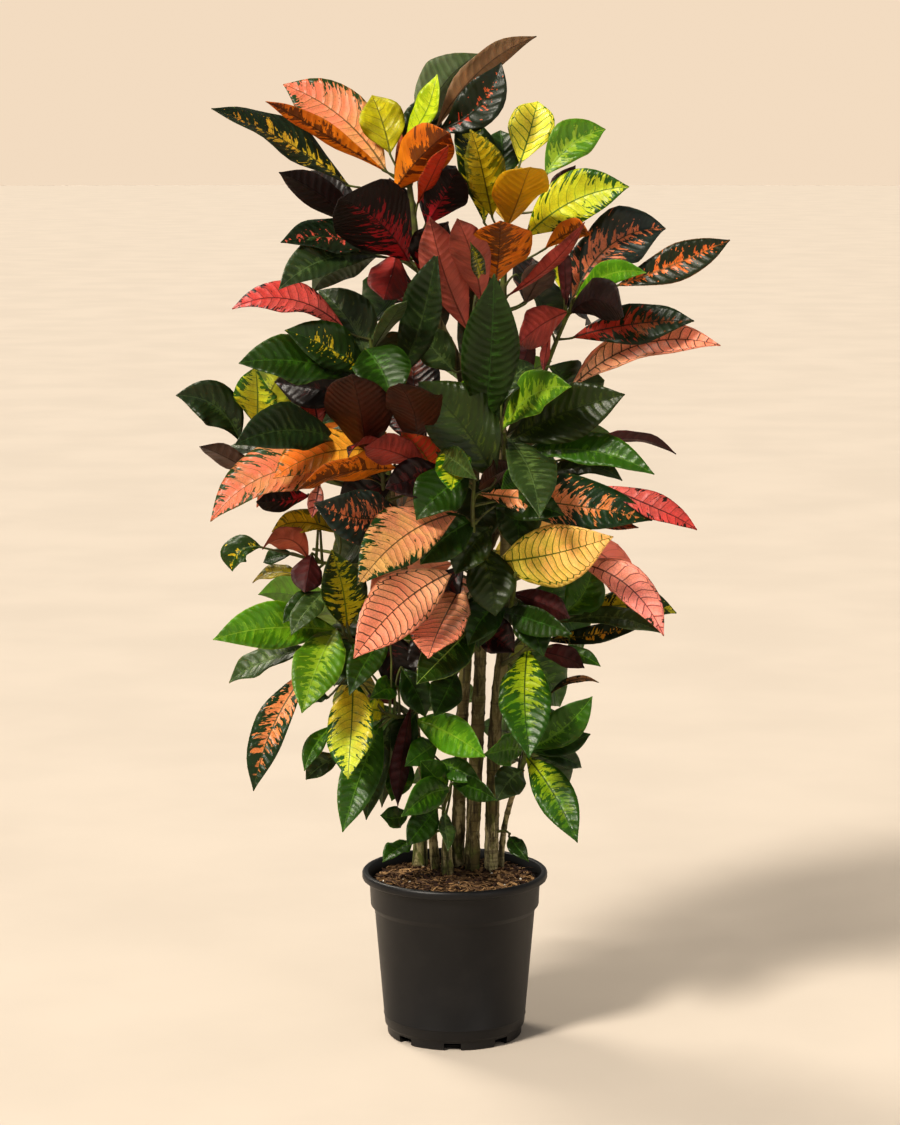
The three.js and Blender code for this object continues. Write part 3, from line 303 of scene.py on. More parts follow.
        (-120, 430, -250, 423, 44, 65, 8, 65, "bright_green"),
        (-122, 432, -160, 343, 50, 75, 24, 100, "green_light"),
        (-150, 412, -238, 377, 24, 40, 14, -20, "grey_green"),
        (-150, 392, -211, 260, 36, 75, 24, 35, "salmon_base"),
        (-132, 360, -152, 355, 12, 40, 4, 15, "grey_dark"),
        (-112, 432, -128, 516, 48, 80, 0, 65, "green_yellow"),
        (-128, 470, -179, 448, 20, 50, 6, 35, "green_dark"),
        (-132, 474, -171, 437, 24, 60, 8, 50, "grey_green"),
        (-108, 418, -140, 370, 16, -70, 4, 35, "pink_red_under"),
        (-100, 425, -150, 372, 40, 75, 6, 0, "black_under"),
        (-128, 425, -100, 366, 34, 80, 2, 20, "green_dark"),
        (-70, 424, -128, 372, 46, 40, 14, -45, "green_dark"),
        (-78, 436, -56, 366, 44, 75, 4, -5, "black_under"),
    )),
    "left_middle": Shoot(((-53, 7, 500), (-105, -18, 502), (-150, -30, 508)), 2.6, "own", (
        (-152, 506, -202, 519, 30, -60, 26, 35, "salmon_under"),
        (-200, 518, -231, 493, 30, 60, 22, 0, "green_spotted"),
        (-168, 512, -200, 503, 14, 50, 4, -20, "green_dark"),
        (-158, 486, -211, 482, 14, 30, 12, -20, "olive_yellow"),
        (-148, 512, -156, 470, 34, -80, 4, 35, "maroon_under"),
        (-120, 532, -190, 538, 20, 40, 14, 15, "olive_yellow"),
        (-150, 572, -206, 566, 28, -70, -6, 50, "crimson_under"),
        (-140, 585, -148, 550, 16, 80, 0, 35, "salmon_pink"),
    )),
    "left_low": Shoot(((-42, 20, 335), (-62, -20, 344), (-74, -38, 352)), 2.6, "own", (
        (-106, 382, -113, 274, 48, 70, 4, 80, "yellow_half"),
        (-70, 430, -110, 365, 34, 70, 12, 80, "green_dark"),
        (-76, 336, -118, 216, 40, 80, 20, 80, "green"),
        (-128, 330, -158, 283, 20, 75, 4, 35, "green"),
        (-118, 298, -156, 272, 22, 60, 6, 15, "grey_green"),
        (-68, 332, -93, 229, 30, 75, 8, 50, "grey_green"),
        (-72, 342, -100, 352, 24, 70, 4, 65, "yellow_green"),
        (-60, 372, -85, 352, 22, 60, 6, 50, "green"),
        (-62, 352, -90, 368, 24, -70, 0, 35, "maroon_under"),
        (-46, 350, -62, 243, 20, -60, 6, 65, "maroon_under"),
        (-18, 312, -50, 288, 28, 75, 6, 50, "green", 20),
        (-42, 336, 32, 296, 38, 75, 10, 100, "bright_green"),
        (-16, 292, 24, 272, 26, 80, 4, 65, "green", 26),
        (-40, 345, -64, 300, 34, 80, 4, 10, "green_dark"),
        (-50, 300, -66, 250, 30, 80, 4, 30, "green", 20),
        (-56, 392, -30, 340, 34, 75, 4, 20, "green_dark"),
        (-58, 346, -104, 292, 42, 40, 12, -45, "green"),
    )),
    "centre_bottom": Shoot(((-9, 5, 208.5), (-12, -2, 232), (-10, -14, 252), (-6, -24, 264)), 2.4, "same", (
        (-4, 268, 44, 250, 24, 80, 6, 65, "green_dark"),
        (-4, 262, -52, 234, 34, 80, 8, 80, "green"),
        (-18, 242, -50, 202, 30, 75, 4, 50, "green_dark", 16),
        (-10, 238, -6, 198, 16, 60, 0, 65, "grey_green", 16),
        (-48, 238, -78, 234, 20, 60, -8, 50, "green"),
        (-44, 206, -76, 186, 16, 30, 4, 35, "green", 10),
        (-8, 262, -36, 292, 30, 80, 4, 35, "green"),
    )),
    "right_twig": Shoot(((39, 25, 209), (52, 18, 213), (58, 14, 211)), 1.6, "none", (
        (57, 211, 76, 186, 18, 70, 6, 35, "green_dark"),
    )),
}

# Canes: the points of the middle line and the radii along it, in millimetres.
CANES = {
    "cane_main": (
        ((19, 25, 108), (19, 25, 200), (24, 25, 320), (27, 20, 430), (22, 12, 560), (8, 8, 690),
         (-20, 8, 758)),
        (8.2, 7.8, 7, 6.4, 5.8, 5.2, 4.6)),
    "cane_right": (
        ((38, 25, 108), (39.5, 25, 220), (43, 22, 330), (53, 17, 440), (52, 12, 540),
         (48, 13, 660), (49, 12, 744)),
        (7.6, 7.4, 7, 6.2, 5.2, 4.8, 4.2)),
    "cane_back": (
        ((2, 38, 108), (5, 37, 250), (11, 33, 380), (24, 30, 480), (68, 30, 590), (86, 22, 680)),
        (7.2, 7, 6.2, 5, 4.6, 3.8)),
    "cane_left": (
        ((-15, 26, 108), (-26, 23, 230), (-42, 20, 330), (-45, 14, 430), (-56, 4, 520),
         (-66, -2, 580)),
        (5.4, 4.8, 4.2, 3.8, 3.4, 3.2)),
    "cane_low": (((-6, 6, 108), (-8, 5, 180), (-9, 5, 208)), (7, 6.6, 4.4)),
    "cane_thin": (((48, 42, 108), (51, 36, 200), (63, 14, 262)), (3.4, 3.2, 2.8)),
    "cane_stub": (((-37, 45, 108), (-37, 45, 170), (-36, 44, 224)), (8.6, 8.2, 7.8)),
}
CANE_SIDES = 20
CANE_STEP = 3
LEAST_CANE_STEPS = 24

# Leaves are placed as they are seen by an eye in front of the plant, in millimetres.
EYE_DISTANCE = 3100
EYE_HEIGHT = 960
# Shoots behind the canes mirror the ones in front through this upright plane.
MIDDLE_DEPTH = 14
# A leaf whose tip comes at least this far out, and that is this wide, has a twin behind.
TWIN_REACH = 40
TWIN_WIDTH = 30
# However far a blade is turned away, at least this share of its width shows.
LEAST_SHOWN = 0.62
# A blade that stands nearly upright arches towards its upper side, not upwards.
LEAST_LIFT = 0.25
# Where stalks leave their stem: how far from its foot, and how far they spread along it.
STEM_FOOT = 11
STALK_SPREAD = 20
FOOT_SPREAD = 8
GOLDEN = 0.618034
ROOT_DROP = 8
BLADE_FOLD = 16
# A leaf is found by its tip, which is a corner of its node's solid.
TIP_MATCH = 0.05 * MM

# How a leaf behind the canes differs from the one in front.
TWIN_LEAST_SPREAD = 0.86
TWIN_SPREAD_RANGE = 0.16
TWIN_DROP = 44
TWIN_DROP_SHARE = 0.6
TWIN_SHIFT = 10

# The outline of a blade: its widest place is a little beyond its middle, and its tip is
# drawn out.
OUTLINE_LEAN = 1.15
OUTLINE_FULLNESS = 0.9
TIP_START = 0.8
TIP_PINCH = 0.3

# Radii along a green stem, as shares of the one at its foot, and along a stalk.
STEM_TAPER = (1, 0.85, 0.6)
STEM_STEPS = 24
STALK_RADII = (1.7, 1.15, 1.1, 1.25, 0.8)
STALK_STEPS = 9
STALK_SIDES = 8
# A stalk bows towards the line of its blade: how far before the blade, as a share of the
# stalk, how much, and how far the stalk reaches into the blade.
STALK_BOW = 0.35
BOW_SHARE = 0.25
STALK_OVERLAP = 4


def linear(code):
    """The linear colour of a six-digit sRGB code."""
    shares = [int(code[place:place + 2], 16) / 255 for place in (0, 2, 4)]
    return tuple(share / 12.92 if share <= 0.04045 else ((share + 0.055) / 1.055) ** 2.4
                 for share in shares)


# ---- settings -------------------------------------------------------------------------------
def length(name, description, default):
    return FloatProperty(name=name, description=description, default=default, min=0,
                         unit="LENGTH", precision=4)


def share(name, description, default):
    return FloatProperty(name=name, description=description, default=default, min=0)


def angle(name, description, degrees):
    return FloatProperty(name=name, description=description, default=math.radians(degrees),
                         min=0, subtype="ANGLE")


def colour(name, description, code):
    return FloatVectorProperty(name=name, description=description, default=linear(code),
                               subtype="COLOR", size=3, min=0, max=1)


def count(name, description, default):
    return IntProperty(name=name, description=description, default=default, min=1)


class PotSettings(PropertyGroup):
    rim_radius: length("Rim radius", "Outer radius of the rolled rim", 0.0974)
    height: length("Height", "Height of the pot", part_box("pot")[1].z)
    base_radius: length("Base radius", "Outer radius of the foot", 0.071)
    notch_width: length("Notch width", "Width of a water notch in the foot", 0.0175)
    notch_height: length("Notch height", "Height of a water notch in the foot", 0.008)
    sides: count("Sides", "Steps round the pot", 144)
    plastic: colour("Plastic", "Colour of the moulded plastic", "0f0f11")
    # This colour is also laid over the lighter band at the foot of the pot.
    dust: colour("Dust", "Colour of dust and scuffs", "3e3a37")


class SoilSettings(PropertyGroup):
    radius: length("Radius", "Radius of the soil's top", 0.0869)
    level: length("Level", "Height of the soil at the pot's wall", 0.1645)
    dome: length("Dome", "How far the middle stands higher", 0.004)
    chips: count("Chips", "Number of bark chips", 800)
    fibres: count("Fibres", "Number of coir fibres", 1700)
    grains: count("Grains", "Number of white grains", 26)
    dark: colour("Dark", "Colour of the moist mix", "30190c")
    light: colour("Light", "Colour of the dry fibres", "c8a070")
    white: colour("White", "Colour of the grains", "e8e2d6")


class CaneSettings(PropertyGroup):
    scar_spacing: length("Scar spacing", "Height between two leaf scars", 0.017)
    scar_height: length("Scar height", "How far a scar ring stands out", 0.0007)
    bark: colour("Bark", "Main colour of the bark", "6c5e3c")
    pale: colour("Pale bark", "Colour of the pale patches", "ccbe92")
    dark: colour("Dark bark", "Colour of scars and cracks", "241c10")
    green: colour("Green bark", "Colour of the green parts near the foot", "70783c")


class LeafSettings(PropertyGroup):
    rib_thickness: length("Rib thickness", "Thickness of a blade at its midrib", 0.0014)
    margin_thickness: length("Margin thickness", "Thickness of a blade at its edge", 0.0006)
    rows: count("Rows", "Steps along a blade", 18)
    columns: count("Columns", "Steps across a blade", 8)
    fold: angle("Fold", "How far the two halves of a blade are folded up", 15)
    wave: share("Wave", "Height of the waves of a margin, as a share of half the width", 0.2)
    vein_spacing: length("Vein spacing", "Distance between two side veins", 0.0098)
    gloss: share("Gloss", "Roughness of the upper side", 0.34)
    dull: share("Dull side", "Roughness of the underside", 0.52)
    stalk: colour("Stalk", "Colour of the stalks", "5f6a2c")
    stem: colour("Stem", "Colour of the green stems", "4a4a26")
    streak: colour("Streak", "Colour of the dark streaks along stems and stalks", "3a3018")


class StageSettings(PropertyGroup):
    floor: colour("Floor", "Colour of the floor", "cfc3b5")
    air: colour("Backdrop", "Colour of the air behind the floor", "e1cdb6")
    floor_radius: length("Floor radius", "Radius of the round floor", 40)
    camera_distance: length("Camera distance", "Distance of the camera from the pot", 3.1)
    camera_height: length("Camera height", "Height of the camera", 0.96)
    camera_aside: length("Camera aside", "How far left of the pot the camera stands", 0.005)
    camera_pitch: angle("Camera pitch", "How far the camera looks down", 8.4)
    lens: share("Lens", "Focal length in millimetres", 96.7)


SETTINGS = {"croton_pot": PotSettings, "croton_soil": SoilSettings, "croton_canes": CaneSettings,
            "croton_leaves": LeafSettings, "croton_stage": StageSettings}


# ---- modelling helpers ----------------------------------------------------------------------
def deselect_all():
    for thing in bpy.context.selected_objects:
        thing.select_set(False)


def select_only(thing):
    deselect_all()
    thing.select_set(True)
    bpy.context.view_layer.objects.active = thing


def start_editing(thing, whole=True):
    """Opens a piece in edit mode, with its whole mesh selected or what was selected in code."""
    select_only(thing)
    bpy.ops.object.mode_set(mode="EDIT")
    if whole:
        bpy.ops.mesh.select_all(action="SELECT")


def stop_editing():
    bpy.ops.object.mode_set(mode="OBJECT")


def turn_faces_out():
    bpy.ops.mesh.select_all(action="SELECT")
    bpy.ops.mesh.normals_make_consistent(inside=False)


def smooth(thing, degrees):
    """Smooth shading, but for edges that are sharper than an angle."""
    select_only(thing)
    bpy.ops.object.shade_smooth_by_angle(angle=math.radians(degrees))


def climb(extrude, radius, height, profile, flatten=1):
    """Extrudes what is selected, a ring, through the (radius, height) pairs of a profile."""
    for next_radius, next_height in profile:
        extrude(TRANSFORM_OT_translate={"value": (0, 0, next_height - height)})
        factor = next_radius / radius
        bpy.ops.transform.resize(value=(factor, factor, flatten),
                                 center_override=(0, 0, next_height))
        radius, height = next_radius, next_height


def fit(thing, node, material=None):
    """Names a finished piece after its node, and ties it to the frame."""
    thing.name = node + "_look"
    thing.data.name = thing.name
    if material:
        thing.data.materials.clear()
        thing.data.materials.append(material)
    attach(thing, BODY)
    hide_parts(node)


def join(parts):
    """Joins objects into the first of them."""
    deselect_all()
    for part in parts:
        part.select_set(True)
    bpy.context.view_layer.objects.active = parts[0]
    bpy.ops.object.join()
    return parts[0]


def copy_of(master):
    """A copy of an object with a mesh of its own."""
    twin = master.copy()
    twin.data = master.data.copy()
    bpy.context.scene.collection.objects.link(twin)
    return twin


def write_values(mesh, name, kind, field, values):
    """Keeps a row of values for each corner of a mesh under a name that a material reads."""
    attribute = mesh.attributes.new(name, kind, "POINT")
    attribute.data.foreach_set(field, np.asarray(values, dtype=np.float32).ravel())


def smooth_path(points, steps):
    """Points along a smooth curve through the given ones."""
    points = [Vector(point) for point in points]
    ends = [points[0] * 2 - points[1], *points, points[-1] * 2 - points[-2]]
    spans = len(points) - 1
    path = []
    for step in range(steps + 1):
        place = step / steps * spans
        span = min(int(place), spans - 1)
        t = place - span
        before, start, end, after = ends[span:span + 4]
        path.append(0.5 * (2 * start + (end - before) * t
                           + (2 * before - 5 * start + 4 * end - after) * t * t
                           + (3 * start - before - 3 * end + after) * t ** 3))
    return path


def along_values(values, place):
    """The value at a share of the way through a row of values."""
    at = place * (len(values) - 1)
    low = min(int(at), len(values) - 2)
    return values[low] + (values[low + 1] - values[low]) * (at - low)


def tubes(lines, sides):
    """Round rods along lines of (points, radii) in millimetres, as one mesh."""
    deselect_all()
    bpy.ops.curve.primitive_nurbs_path_add(location=(0, 0, 0))
    rod = bpy.context.object
    rod.data.splines.clear()
    rod.data.bevel_depth = MM
    rod.data.bevel_resolution = sides // 2 - 2
    rod.data.use_fill_caps = True
    for points, radii in lines:
        spline = rod.data.splines.new("POLY")
        spline.points.add(len(points) - 1)
        for place, (point, radius) in enumerate(zip(points, radii)):
            spline.points[place].co = (*(Vector(point) * MM), 1)
            spline.points[place].radius = radius
    bpy.ops.object.convert(target="MESH")
    rod = bpy.context.object
    start_editing(rod)
    bpy.ops.mesh.remove_doubles(threshold=0.01 * MM)
    turn_faces_out()
    stop_editing()
    smooth(rod, degrees=50)
    return rod


# ---- shader helpers -------------------------------------------------------------------------
class Bench:
    """Puts nodes into one node tree and links them."""

    def __init__(self, tree):
        self.tree = tree

    def node(self, kind, inputs=None, **settings):
        made = self.tree.nodes.new(kind)
        for name, value in settings.items():
            setattr(made, name, value)
        for key, value in (inputs or {}).items():
            self.feed(made.inputs[key], value)
        return made

    def feed(self, socket, value):
        if isinstance(value, bpy.types.NodeSocket):
            self.tree.links.new(value, socket)
        elif hasattr(value, "__len__") and len(value) == 3 and socket.type == "RGBA":
            socket.default_value = (*value, 1)
        else:
            socket.default_value = value

    def math(self, operation, *values):
        inputs = dict(enumerate(values))
        return self.node("ShaderNodeMath", inputs, operation=operation).outputs[0]

    def times(self, value, factor):
        return self.math("MULTIPLY", value, factor)

    def minus(self, value, other):
        return self.math("SUBTRACT", value, other)

    def times_plus(self, value, times, plus):
        """value * times + plus"""
        return self.math("MULTIPLY_ADD", value, times, plus)

    def mix(self, factor, one, other, blend="MIX"):
        """Mixes two colours, which are inputs 6 and 7 and output 2 of a mix node."""
        inputs = {0: factor, 6: one, 7: other}
        made = self.node("ShaderNodeMix", inputs, data_type="RGBA", blend_type=blend)
        return made.outputs[2]

    def lay(self, tint, mask, over, strength):
        """Lays a colour over another where a mask says, no more than at the given strength."""
        return self.mix(self.times(mask, strength), tint, over)

    def shaded(self, tint, light):
        """A colour made darker or lighter by a value."""
        return self.mix(1.0, tint, self.vector(light, light, light), "MULTIPLY")

    def fade(self, value, low, high, start=0.0, end=1.0):
        """Runs smoothly from start to end while the value goes from low to high."""
        inputs = {"Value": value, "From Min": low, "From Max": high, "To Min": start,
                  "To Max": end}
        made = self.node("ShaderNodeMapRange", inputs, interpolation_type="SMOOTHSTEP")
        return made.outputs[0]

    def parts(self, vector):
        return self.node("ShaderNodeSeparateXYZ", {0: vector}).outputs

    def vector(self, x, y, z):
        return self.node("ShaderNodeCombineXYZ", {0: x, 1: y, 2: z}).outputs[0]

    def scaled(self, vector, scale):
        inputs = {"Vector": vector, "Scale": scale}
        return self.node("ShaderNodeMapping", inputs).outputs[0]

    def noise(self, vector, scale=1.0, detail=2.0, roughness=0.5, distortion=0.0):
        inputs = {"Vector": vector, "Scale": scale, "Detail": detail, "Roughness": roughness,
                  "Distortion": distortion}
        return self.node("ShaderNodeTexNoise", inputs).outputs[0]

    def cells(self, vector, scale=1.0, feature="F1"):
        inputs = {"Vector": vector, "Scale": scale}
        return self.node("ShaderNodeTexVoronoi", inputs, feature=feature).outputs

    def group(self, build, inputs):
        """Places a shared group, which is built where it is first asked for."""
        made = self.node("ShaderNodeGroup")
        made.node_tree = bpy.data.node_groups.get(build.__name__) or build()
        for key, value in inputs.items():
            self.feed(made.inputs[key], value)
        return made.outputs

    def attribute(self, name, output="Vector"):
        return self.node("ShaderNodeAttribute", attribute_name=name).outputs[output]

    def object_place(self):
        return self.node("ShaderNodeTexCoord").outputs["Object"]

    def bump(self, height, distance, strength):
        inputs = {"Height": height, "Distance": distance, "Strength": strength}
        return self.node("ShaderNodeBump", inputs).outputs[0]


VALUE = "NodeSocketFloat"
PLACE = "NodeSocketVector"


def new_group(name, inputs, outputs):
    """An empty shader group with the named sockets, the bench for it, and its two ends."""
    tree = bpy.data.node_groups.new(name, "ShaderNodeTree")
    for label, kind in inputs.items():
        tree.interface.new_socket(label, in_out="INPUT", socket_type=kind)
    for label, kind in outputs.items():
        tree.interface.new_socket(label, in_out="OUTPUT", socket_type=kind)
    entry = tree.nodes.new("NodeGroupInput")
    leave = tree.nodes.new("NodeGroupOutput")
    return Bench(tree), entry.outputs, leave.inputs


def new_material(name, **constants):
    """A material with one Principled shader, its constants set, and the bench to build on."""
    material = bpy.data.materials.new(name)
    material.use_nodes = True
    shader = material.node_tree.nodes["Principled BSDF"]
    for label, value in constants.items():
        shader.inputs[label.replace("_", " ")].default_value = value
    return material, Bench(material.node_tree), shader.inputs


def grime():
    """Soft patches, fine specks and thin scratches, for plastic and bark."""
    bench, given, result = new_group(
        "grime", {"Place": PLACE, "Patch Scale": VALUE, "Speck Scale": VALUE},
        {"Patches": VALUE, "Specks": VALUE, "Scratches": VALUE})
    place = given["Place"]
    patches = bench.noise(place, given["Patch Scale"], detail=5, roughness=0.6, distortion=0.3)
    bench.feed(result["Patches"], bench.fade(patches, 0.42, 0.68))
    specks = bench.noise(place, given["Speck Scale"])
    bench.feed(result["Specks"], bench.fade(specks, 0.62, 0.72))
    upright = bench.scaled(place, (90, 90, 900))
    scratches = bench.noise(upright, detail=3, roughness=0.7, distortion=0.6)
    bench.feed(result["Scratches"], bench.fade(scratches, 0.6, 0.75))
    return bench.tree


def blade_veins():
    """The side veins of a blade, the swellings between them and the fine net.

    Place is the distance along and across the blade in millimetres and the leaf's own number.
    Out runs from the midrib to the margin. Bold closes the veins in loops near the margin.
    Drawn is a place that follows the veins.
    """
    slant, more_slant_out = 0.34, 0.017
    wobble_scale, wobble = (0.03, 0.05, 31), 1.0
    halves_apart = 0.12
    vein_middle, vein_width, bold_width = 0.015, 0.06, 0.045
    lobe_depth, loop_at, loop_width = 0.16, 0.82, (0.008, 0.03)
    net_scale, net_line = 0.3, (0.02, 0.12)
    drawn_scale = (0.15, 0.05)
    bench, given, result = new_group(
        "blade_veins", {"Place": PLACE, "Spacing": VALUE, "Out": VALUE, "Bold": VALUE},
        {"Side Veins": VALUE, "Swelling": VALUE, "Net": VALUE, "Drawn": PLACE})
    along, across, number = bench.parts(given["Place"])
    out = bench.math("ABSOLUTE", across)
    lean = bench.times_plus(out, times=more_slant_out, plus=slant)
    drawn = bench.minus(along, bench.times(out, lean))
    waves = bench.noise(bench.scaled(given["Place"], wobble_scale))
    turns = bench.math("DIVIDE", drawn, given["Spacing"])
    turns = bench.times_plus(waves, times=wobble, plus=turns)
    half = bench.math("SIGN", across)
    turns = bench.times_plus(half, times=halves_apart, plus=turns)
    near = bench.math("PINGPONG", turns, 0.5)
    wide = bench.times_plus(given["Bold"], times=bold_width, plus=vein_width)
    lines = bench.fade(near, vein_middle, wide, 1, 0)
    lobes = bench.times_plus(near, times=-lobe_depth, plus=given["Out"])
    inside = bench.fade(lobes, loop_at - 0.02, loop_at + 0.02, 1, 0)
    loop = bench.fade(bench.math("ABSOLUTE", bench.minus(lobes, loop_at)), *loop_width, 1, 0)
    closed = bench.times(loop, given["Bold"])
    bench.feed(result["Side Veins"], bench.math("MAXIMUM", bench.times(lines, inside), closed))
    bench.feed(result["Swelling"], bench.fade(near, 0.0, 0.45))
    own_net = bench.vector(along, across, bench.times(number, 90))
    net = bench.cells(own_net, net_scale, "DISTANCE_TO_EDGE")["Distance"]
    bench.feed(result["Net"], bench.fade(net, *net_line, 1, 0))
    lane = bench.times_plus(number, times=70, plus=bench.times(half, 4))
    along_veins = bench.times(drawn, drawn_scale[0])
    bench.feed(result["Drawn"], bench.vector(along_veins, bench.times(out, drawn_scale[1]), lane))
    return bench.tree


def blade_blotches():
    """Patches stretched along the side veins, and small dots.

    Amount is the share of the blade that is covered, and Spots how many dots there are. Lean
    keeps the patches to the foot of the blade.
    """
    tile_scale, tile_weight = (3, 4, 1), 0.2
    rib_weight, foot_weight, foot_end = 0.3, 0.36, 0.45
    bare_level, covered_drop, edge_blur = 0.72, 0.56, (-0.008, 0.014)
    dot_scale, dot_size = 0.17, (0.1, 0.17)
    shade_scale = 0.045
    bench, given, result = new_group(
        "blade_blotches",
        {"Place": PLACE, "Drawn": PLACE, "Along": VALUE, "Out": VALUE, "Amount": VALUE,
         "Spots": VALUE, "Lean": VALUE},
        {"Blotches": VALUE, "Dots": VALUE, "Shade": VALUE})
    level = bench.noise(given["Drawn"], detail=3, roughness=0.6, distortion=0.4)
    mosaic = bench.cells(bench.scaled(given["Drawn"], tile_scale))
    tile = bench.minus(bench.parts(mosaic["Color"])[1], 0.5)
    level = bench.times_plus(tile, times=tile_weight, plus=level)
    near_rib = bench.minus(0.5, given["Out"])
    level = bench.times_plus(near_rib, times=rib_weight, plus=level)
    near_foot = bench.minus(foot_end, given["Along"])
    level = bench.times_plus(near_foot, bench.times(given["Lean"], foot_weight), level)
    edge = bench.times_plus(given["Amount"], times=-covered_drop, plus=bare_level)
    bench.feed(result["Blotches"], bench.fade(bench.minus(level, edge), *edge_blur))
    along, across, number = bench.parts(given["Place"])
    own_dots = bench.vector(along, bench.times(across, 1.4), bench.times(number, 60))
    dots = bench.cells(own_dots, dot_scale)
    kept = bench.math("LESS_THAN", bench.parts(dots["Color"])[0], given["Spots"])
    dot = bench.fade(dots["Distance"], *dot_size, 1, 0)
    bench.feed(result["Dots"], bench.times(kept, dot))
    own_shade = bench.vector(along, across, bench.times(number, 33))
    shade = bench.noise(own_shade, shade_scale, detail=3)
    bench.feed(result["Shade"], bench.fade(shade, 0.25, 0.75))
    return bench.tree


# ---- pot ------------------------------------------------------------------------------------
NOTCHES = 8
FIRST_NOTCH = math.radians(-2)
NOTCH_DEPTH = 0.02
# How far the underside and the notches' middles stand in from the edge of the foot.
FOOT_ROUNDING = 0.0022
NOTCH_INSET = 0.002


def plastic_material(settings):
    material, bench, shader = new_material("moulded_plastic", Specular_IOR_Level=0.4)
    place = bench.object_place()
    dirt = bench.group(grime, {"Place": place, "Patch Scale": 26, "Speck Scale": 900})
    height = bench.parts(place)[2]
    # Lighter towards the foot, in a band that fades out 2 cm up; dust patches, specks and scratches are
    # added to it.
    foot_band_and_dust = bench.fade(height, 0.0, 0.02, 0.22, 0)
    for mark, weight in (("Patches", 0.16), ("Specks", 0.22), ("Scratches", 0.12)):
        foot_band_and_dust = bench.times_plus(dirt[mark], weight, foot_band_and_dust)
    bench.feed(shader["Base Color"],
               bench.lay(settings.plastic, foot_band_and_dust, settings.dust, strength=0.5))
    bench.feed(shader["Roughness"], bench.times_plus(foot_band_and_dust, times=0.25, plus=0.42))
    grain = bench.noise(place, scale=1800)
    relief = bench.times_plus(dirt["Scratches"], times=-0.6, plus=grain)
    bench.feed(shader["Normal"], bench.bump(relief, distance=0.00008, strength=0.6))
    return material


def pot_profile(settings):
    """(radius, height) from the foot up the outside, over the rim and down the inside."""
    rim = settings.rim_radius
    top = settings.height
    base = settings.base_radius
    foot = [(base - 0.0011, 0.0004), (base, 0.0018), (base + 0.0006, 0.0093),
            (base + 0.0009, 0.0100), (base + 0.0024, 0.0114), (base + 0.0028, 0.0124),
            (base + 0.0036, 0.0212), (base + 0.0041, 0.0216), (base + 0.0041, 0.0226),
            (base + 0.0038, 0.0232)]
    collar = [(0.0843, 0.1342), (0.0846, 0.1352), (0.0882, 0.1398), (0.0885, 0.1408),
              (0.0897, 0.1655), (0.0901, 0.1664)]
    rolled_rim = [(rim - 0.0018, 0.1671), (rim - 0.0006, 0.1680), (rim, 0.1694), (rim, 0.1732),
                  (rim - 0.0005, 0.1746), (rim - 0.0016, top - 0.0003), (rim - 0.0028, top),
                  (rim - 0.0044, top - 0.0002)]
    inside = [(0.0914, top - 0.0010), (0.0904, top - 0.0030), (0.0878, 0.1660),
              (0.0862, 0.1400), (0.0822, 0.1345), (base + 0.0005, 0.0120),
              (base - 0.0016, 0.0050), (base - 0.0050, 0.0026)]
    return foot + collar + rolled_rim + inside


class CROTON_OT_pot(Operator):
    """Builds the nursery pot with its rolled rim, collar and water notches"""
    bl_idname = "croton.pot"
    bl_label = "Pot"

    def execute(self, context):
        settings = context.scene.croton_pot
        deselect_all()
        start = settings.base_radius - FOOT_ROUNDING
        bpy.ops.mesh.primitive_circle_add(vertices=settings.sides, radius=start,
                                          fill_type="NGON")
        pot = context.object
        start_editing(pot)
        climb(bpy.ops.mesh.extrude_region_move, start, 0, pot_profile(settings))
        turn_faces_out()
        stop_editing()
        self.cut_notches(pot, settings)
        smooth(pot, degrees=32)
        fit(pot, "pot", plastic_material(settings))
        return {"FINISHED"}

    def cut_notches(self, pot, settings):
        cutters = []
        for notch in range(NOTCHES):
            turn = notch / NOTCHES * math.tau + FIRST_NOTCH
            reach = settings.base_radius - NOTCH_INSET
            place = Vector((math.cos(turn), math.sin(turn), 0)) * reach
            deselect_all()
            bpy.ops.mesh.primitive_cube_add(size=1, location=place, rotation=(0, 0, turn))
            size = (NOTCH_DEPTH, settings.notch_width, settings.notch_height * 2)
            bpy.ops.transform.resize(value=size, orient_type="LOCAL")
            cutters.append(bpy.context.object)
        cutter = join(cutters)
        modifier = pot.modifiers.new("notches", "BOOLEAN")
        modifier.operation = "DIFFERENCE"
        modifier.solver = "EXACT"
        modifier.object = cutter
        select_only(pot)
        bpy.ops.object.modifier_apply(modifier=modifier.name)
        bpy.data.objects.remove(cutter)


# ---- soil -----------------------------------------------------------------------------------
# (radius, height) of the soil's side from the top down, a little inside the pot's wall.
SOIL_WALL = ((0.0857, 0.1403), (0.0816, 0.1346), (0.0727, 0.0300))
SOIL_SIDES = 96
SOIL_RINGS = 22
RING_WIDTH_SHARE = 1 / 24
# Corners this far out, as a share of the radius, stand on the soil's edge.
EDGE_SHARE = 0.999
# How dark the painted shade in the hollows between the crumbs is against the moist mix.
HOLLOW_SHADE_SHARE = 0.25
# (how many lumps in a metre, how high they are)
SOIL_LUMPS = ((90, 0.0016), (300, 0.0009))
CHIP_SIZE = (0.0115, 0.0021, 0.0013)
FIBRE_LENGTH = 0.022
FIBRE_RADIUS = 0.00062
FIBRE_CUTS = (-0.006, -0.002, 0.002, 0.006)
# A fibre bows down towards its ends, and sways from side to side.
FIBRE_BOW = 26
FIBRE_SWAY = 0.0016
SWAYS = 260
GRAIN_RADIUS = 0.0013
CLEAR_OF_WALL = 0.006
LITTER_TILT = 0.28
LITTER_DEPTH = 0.0026


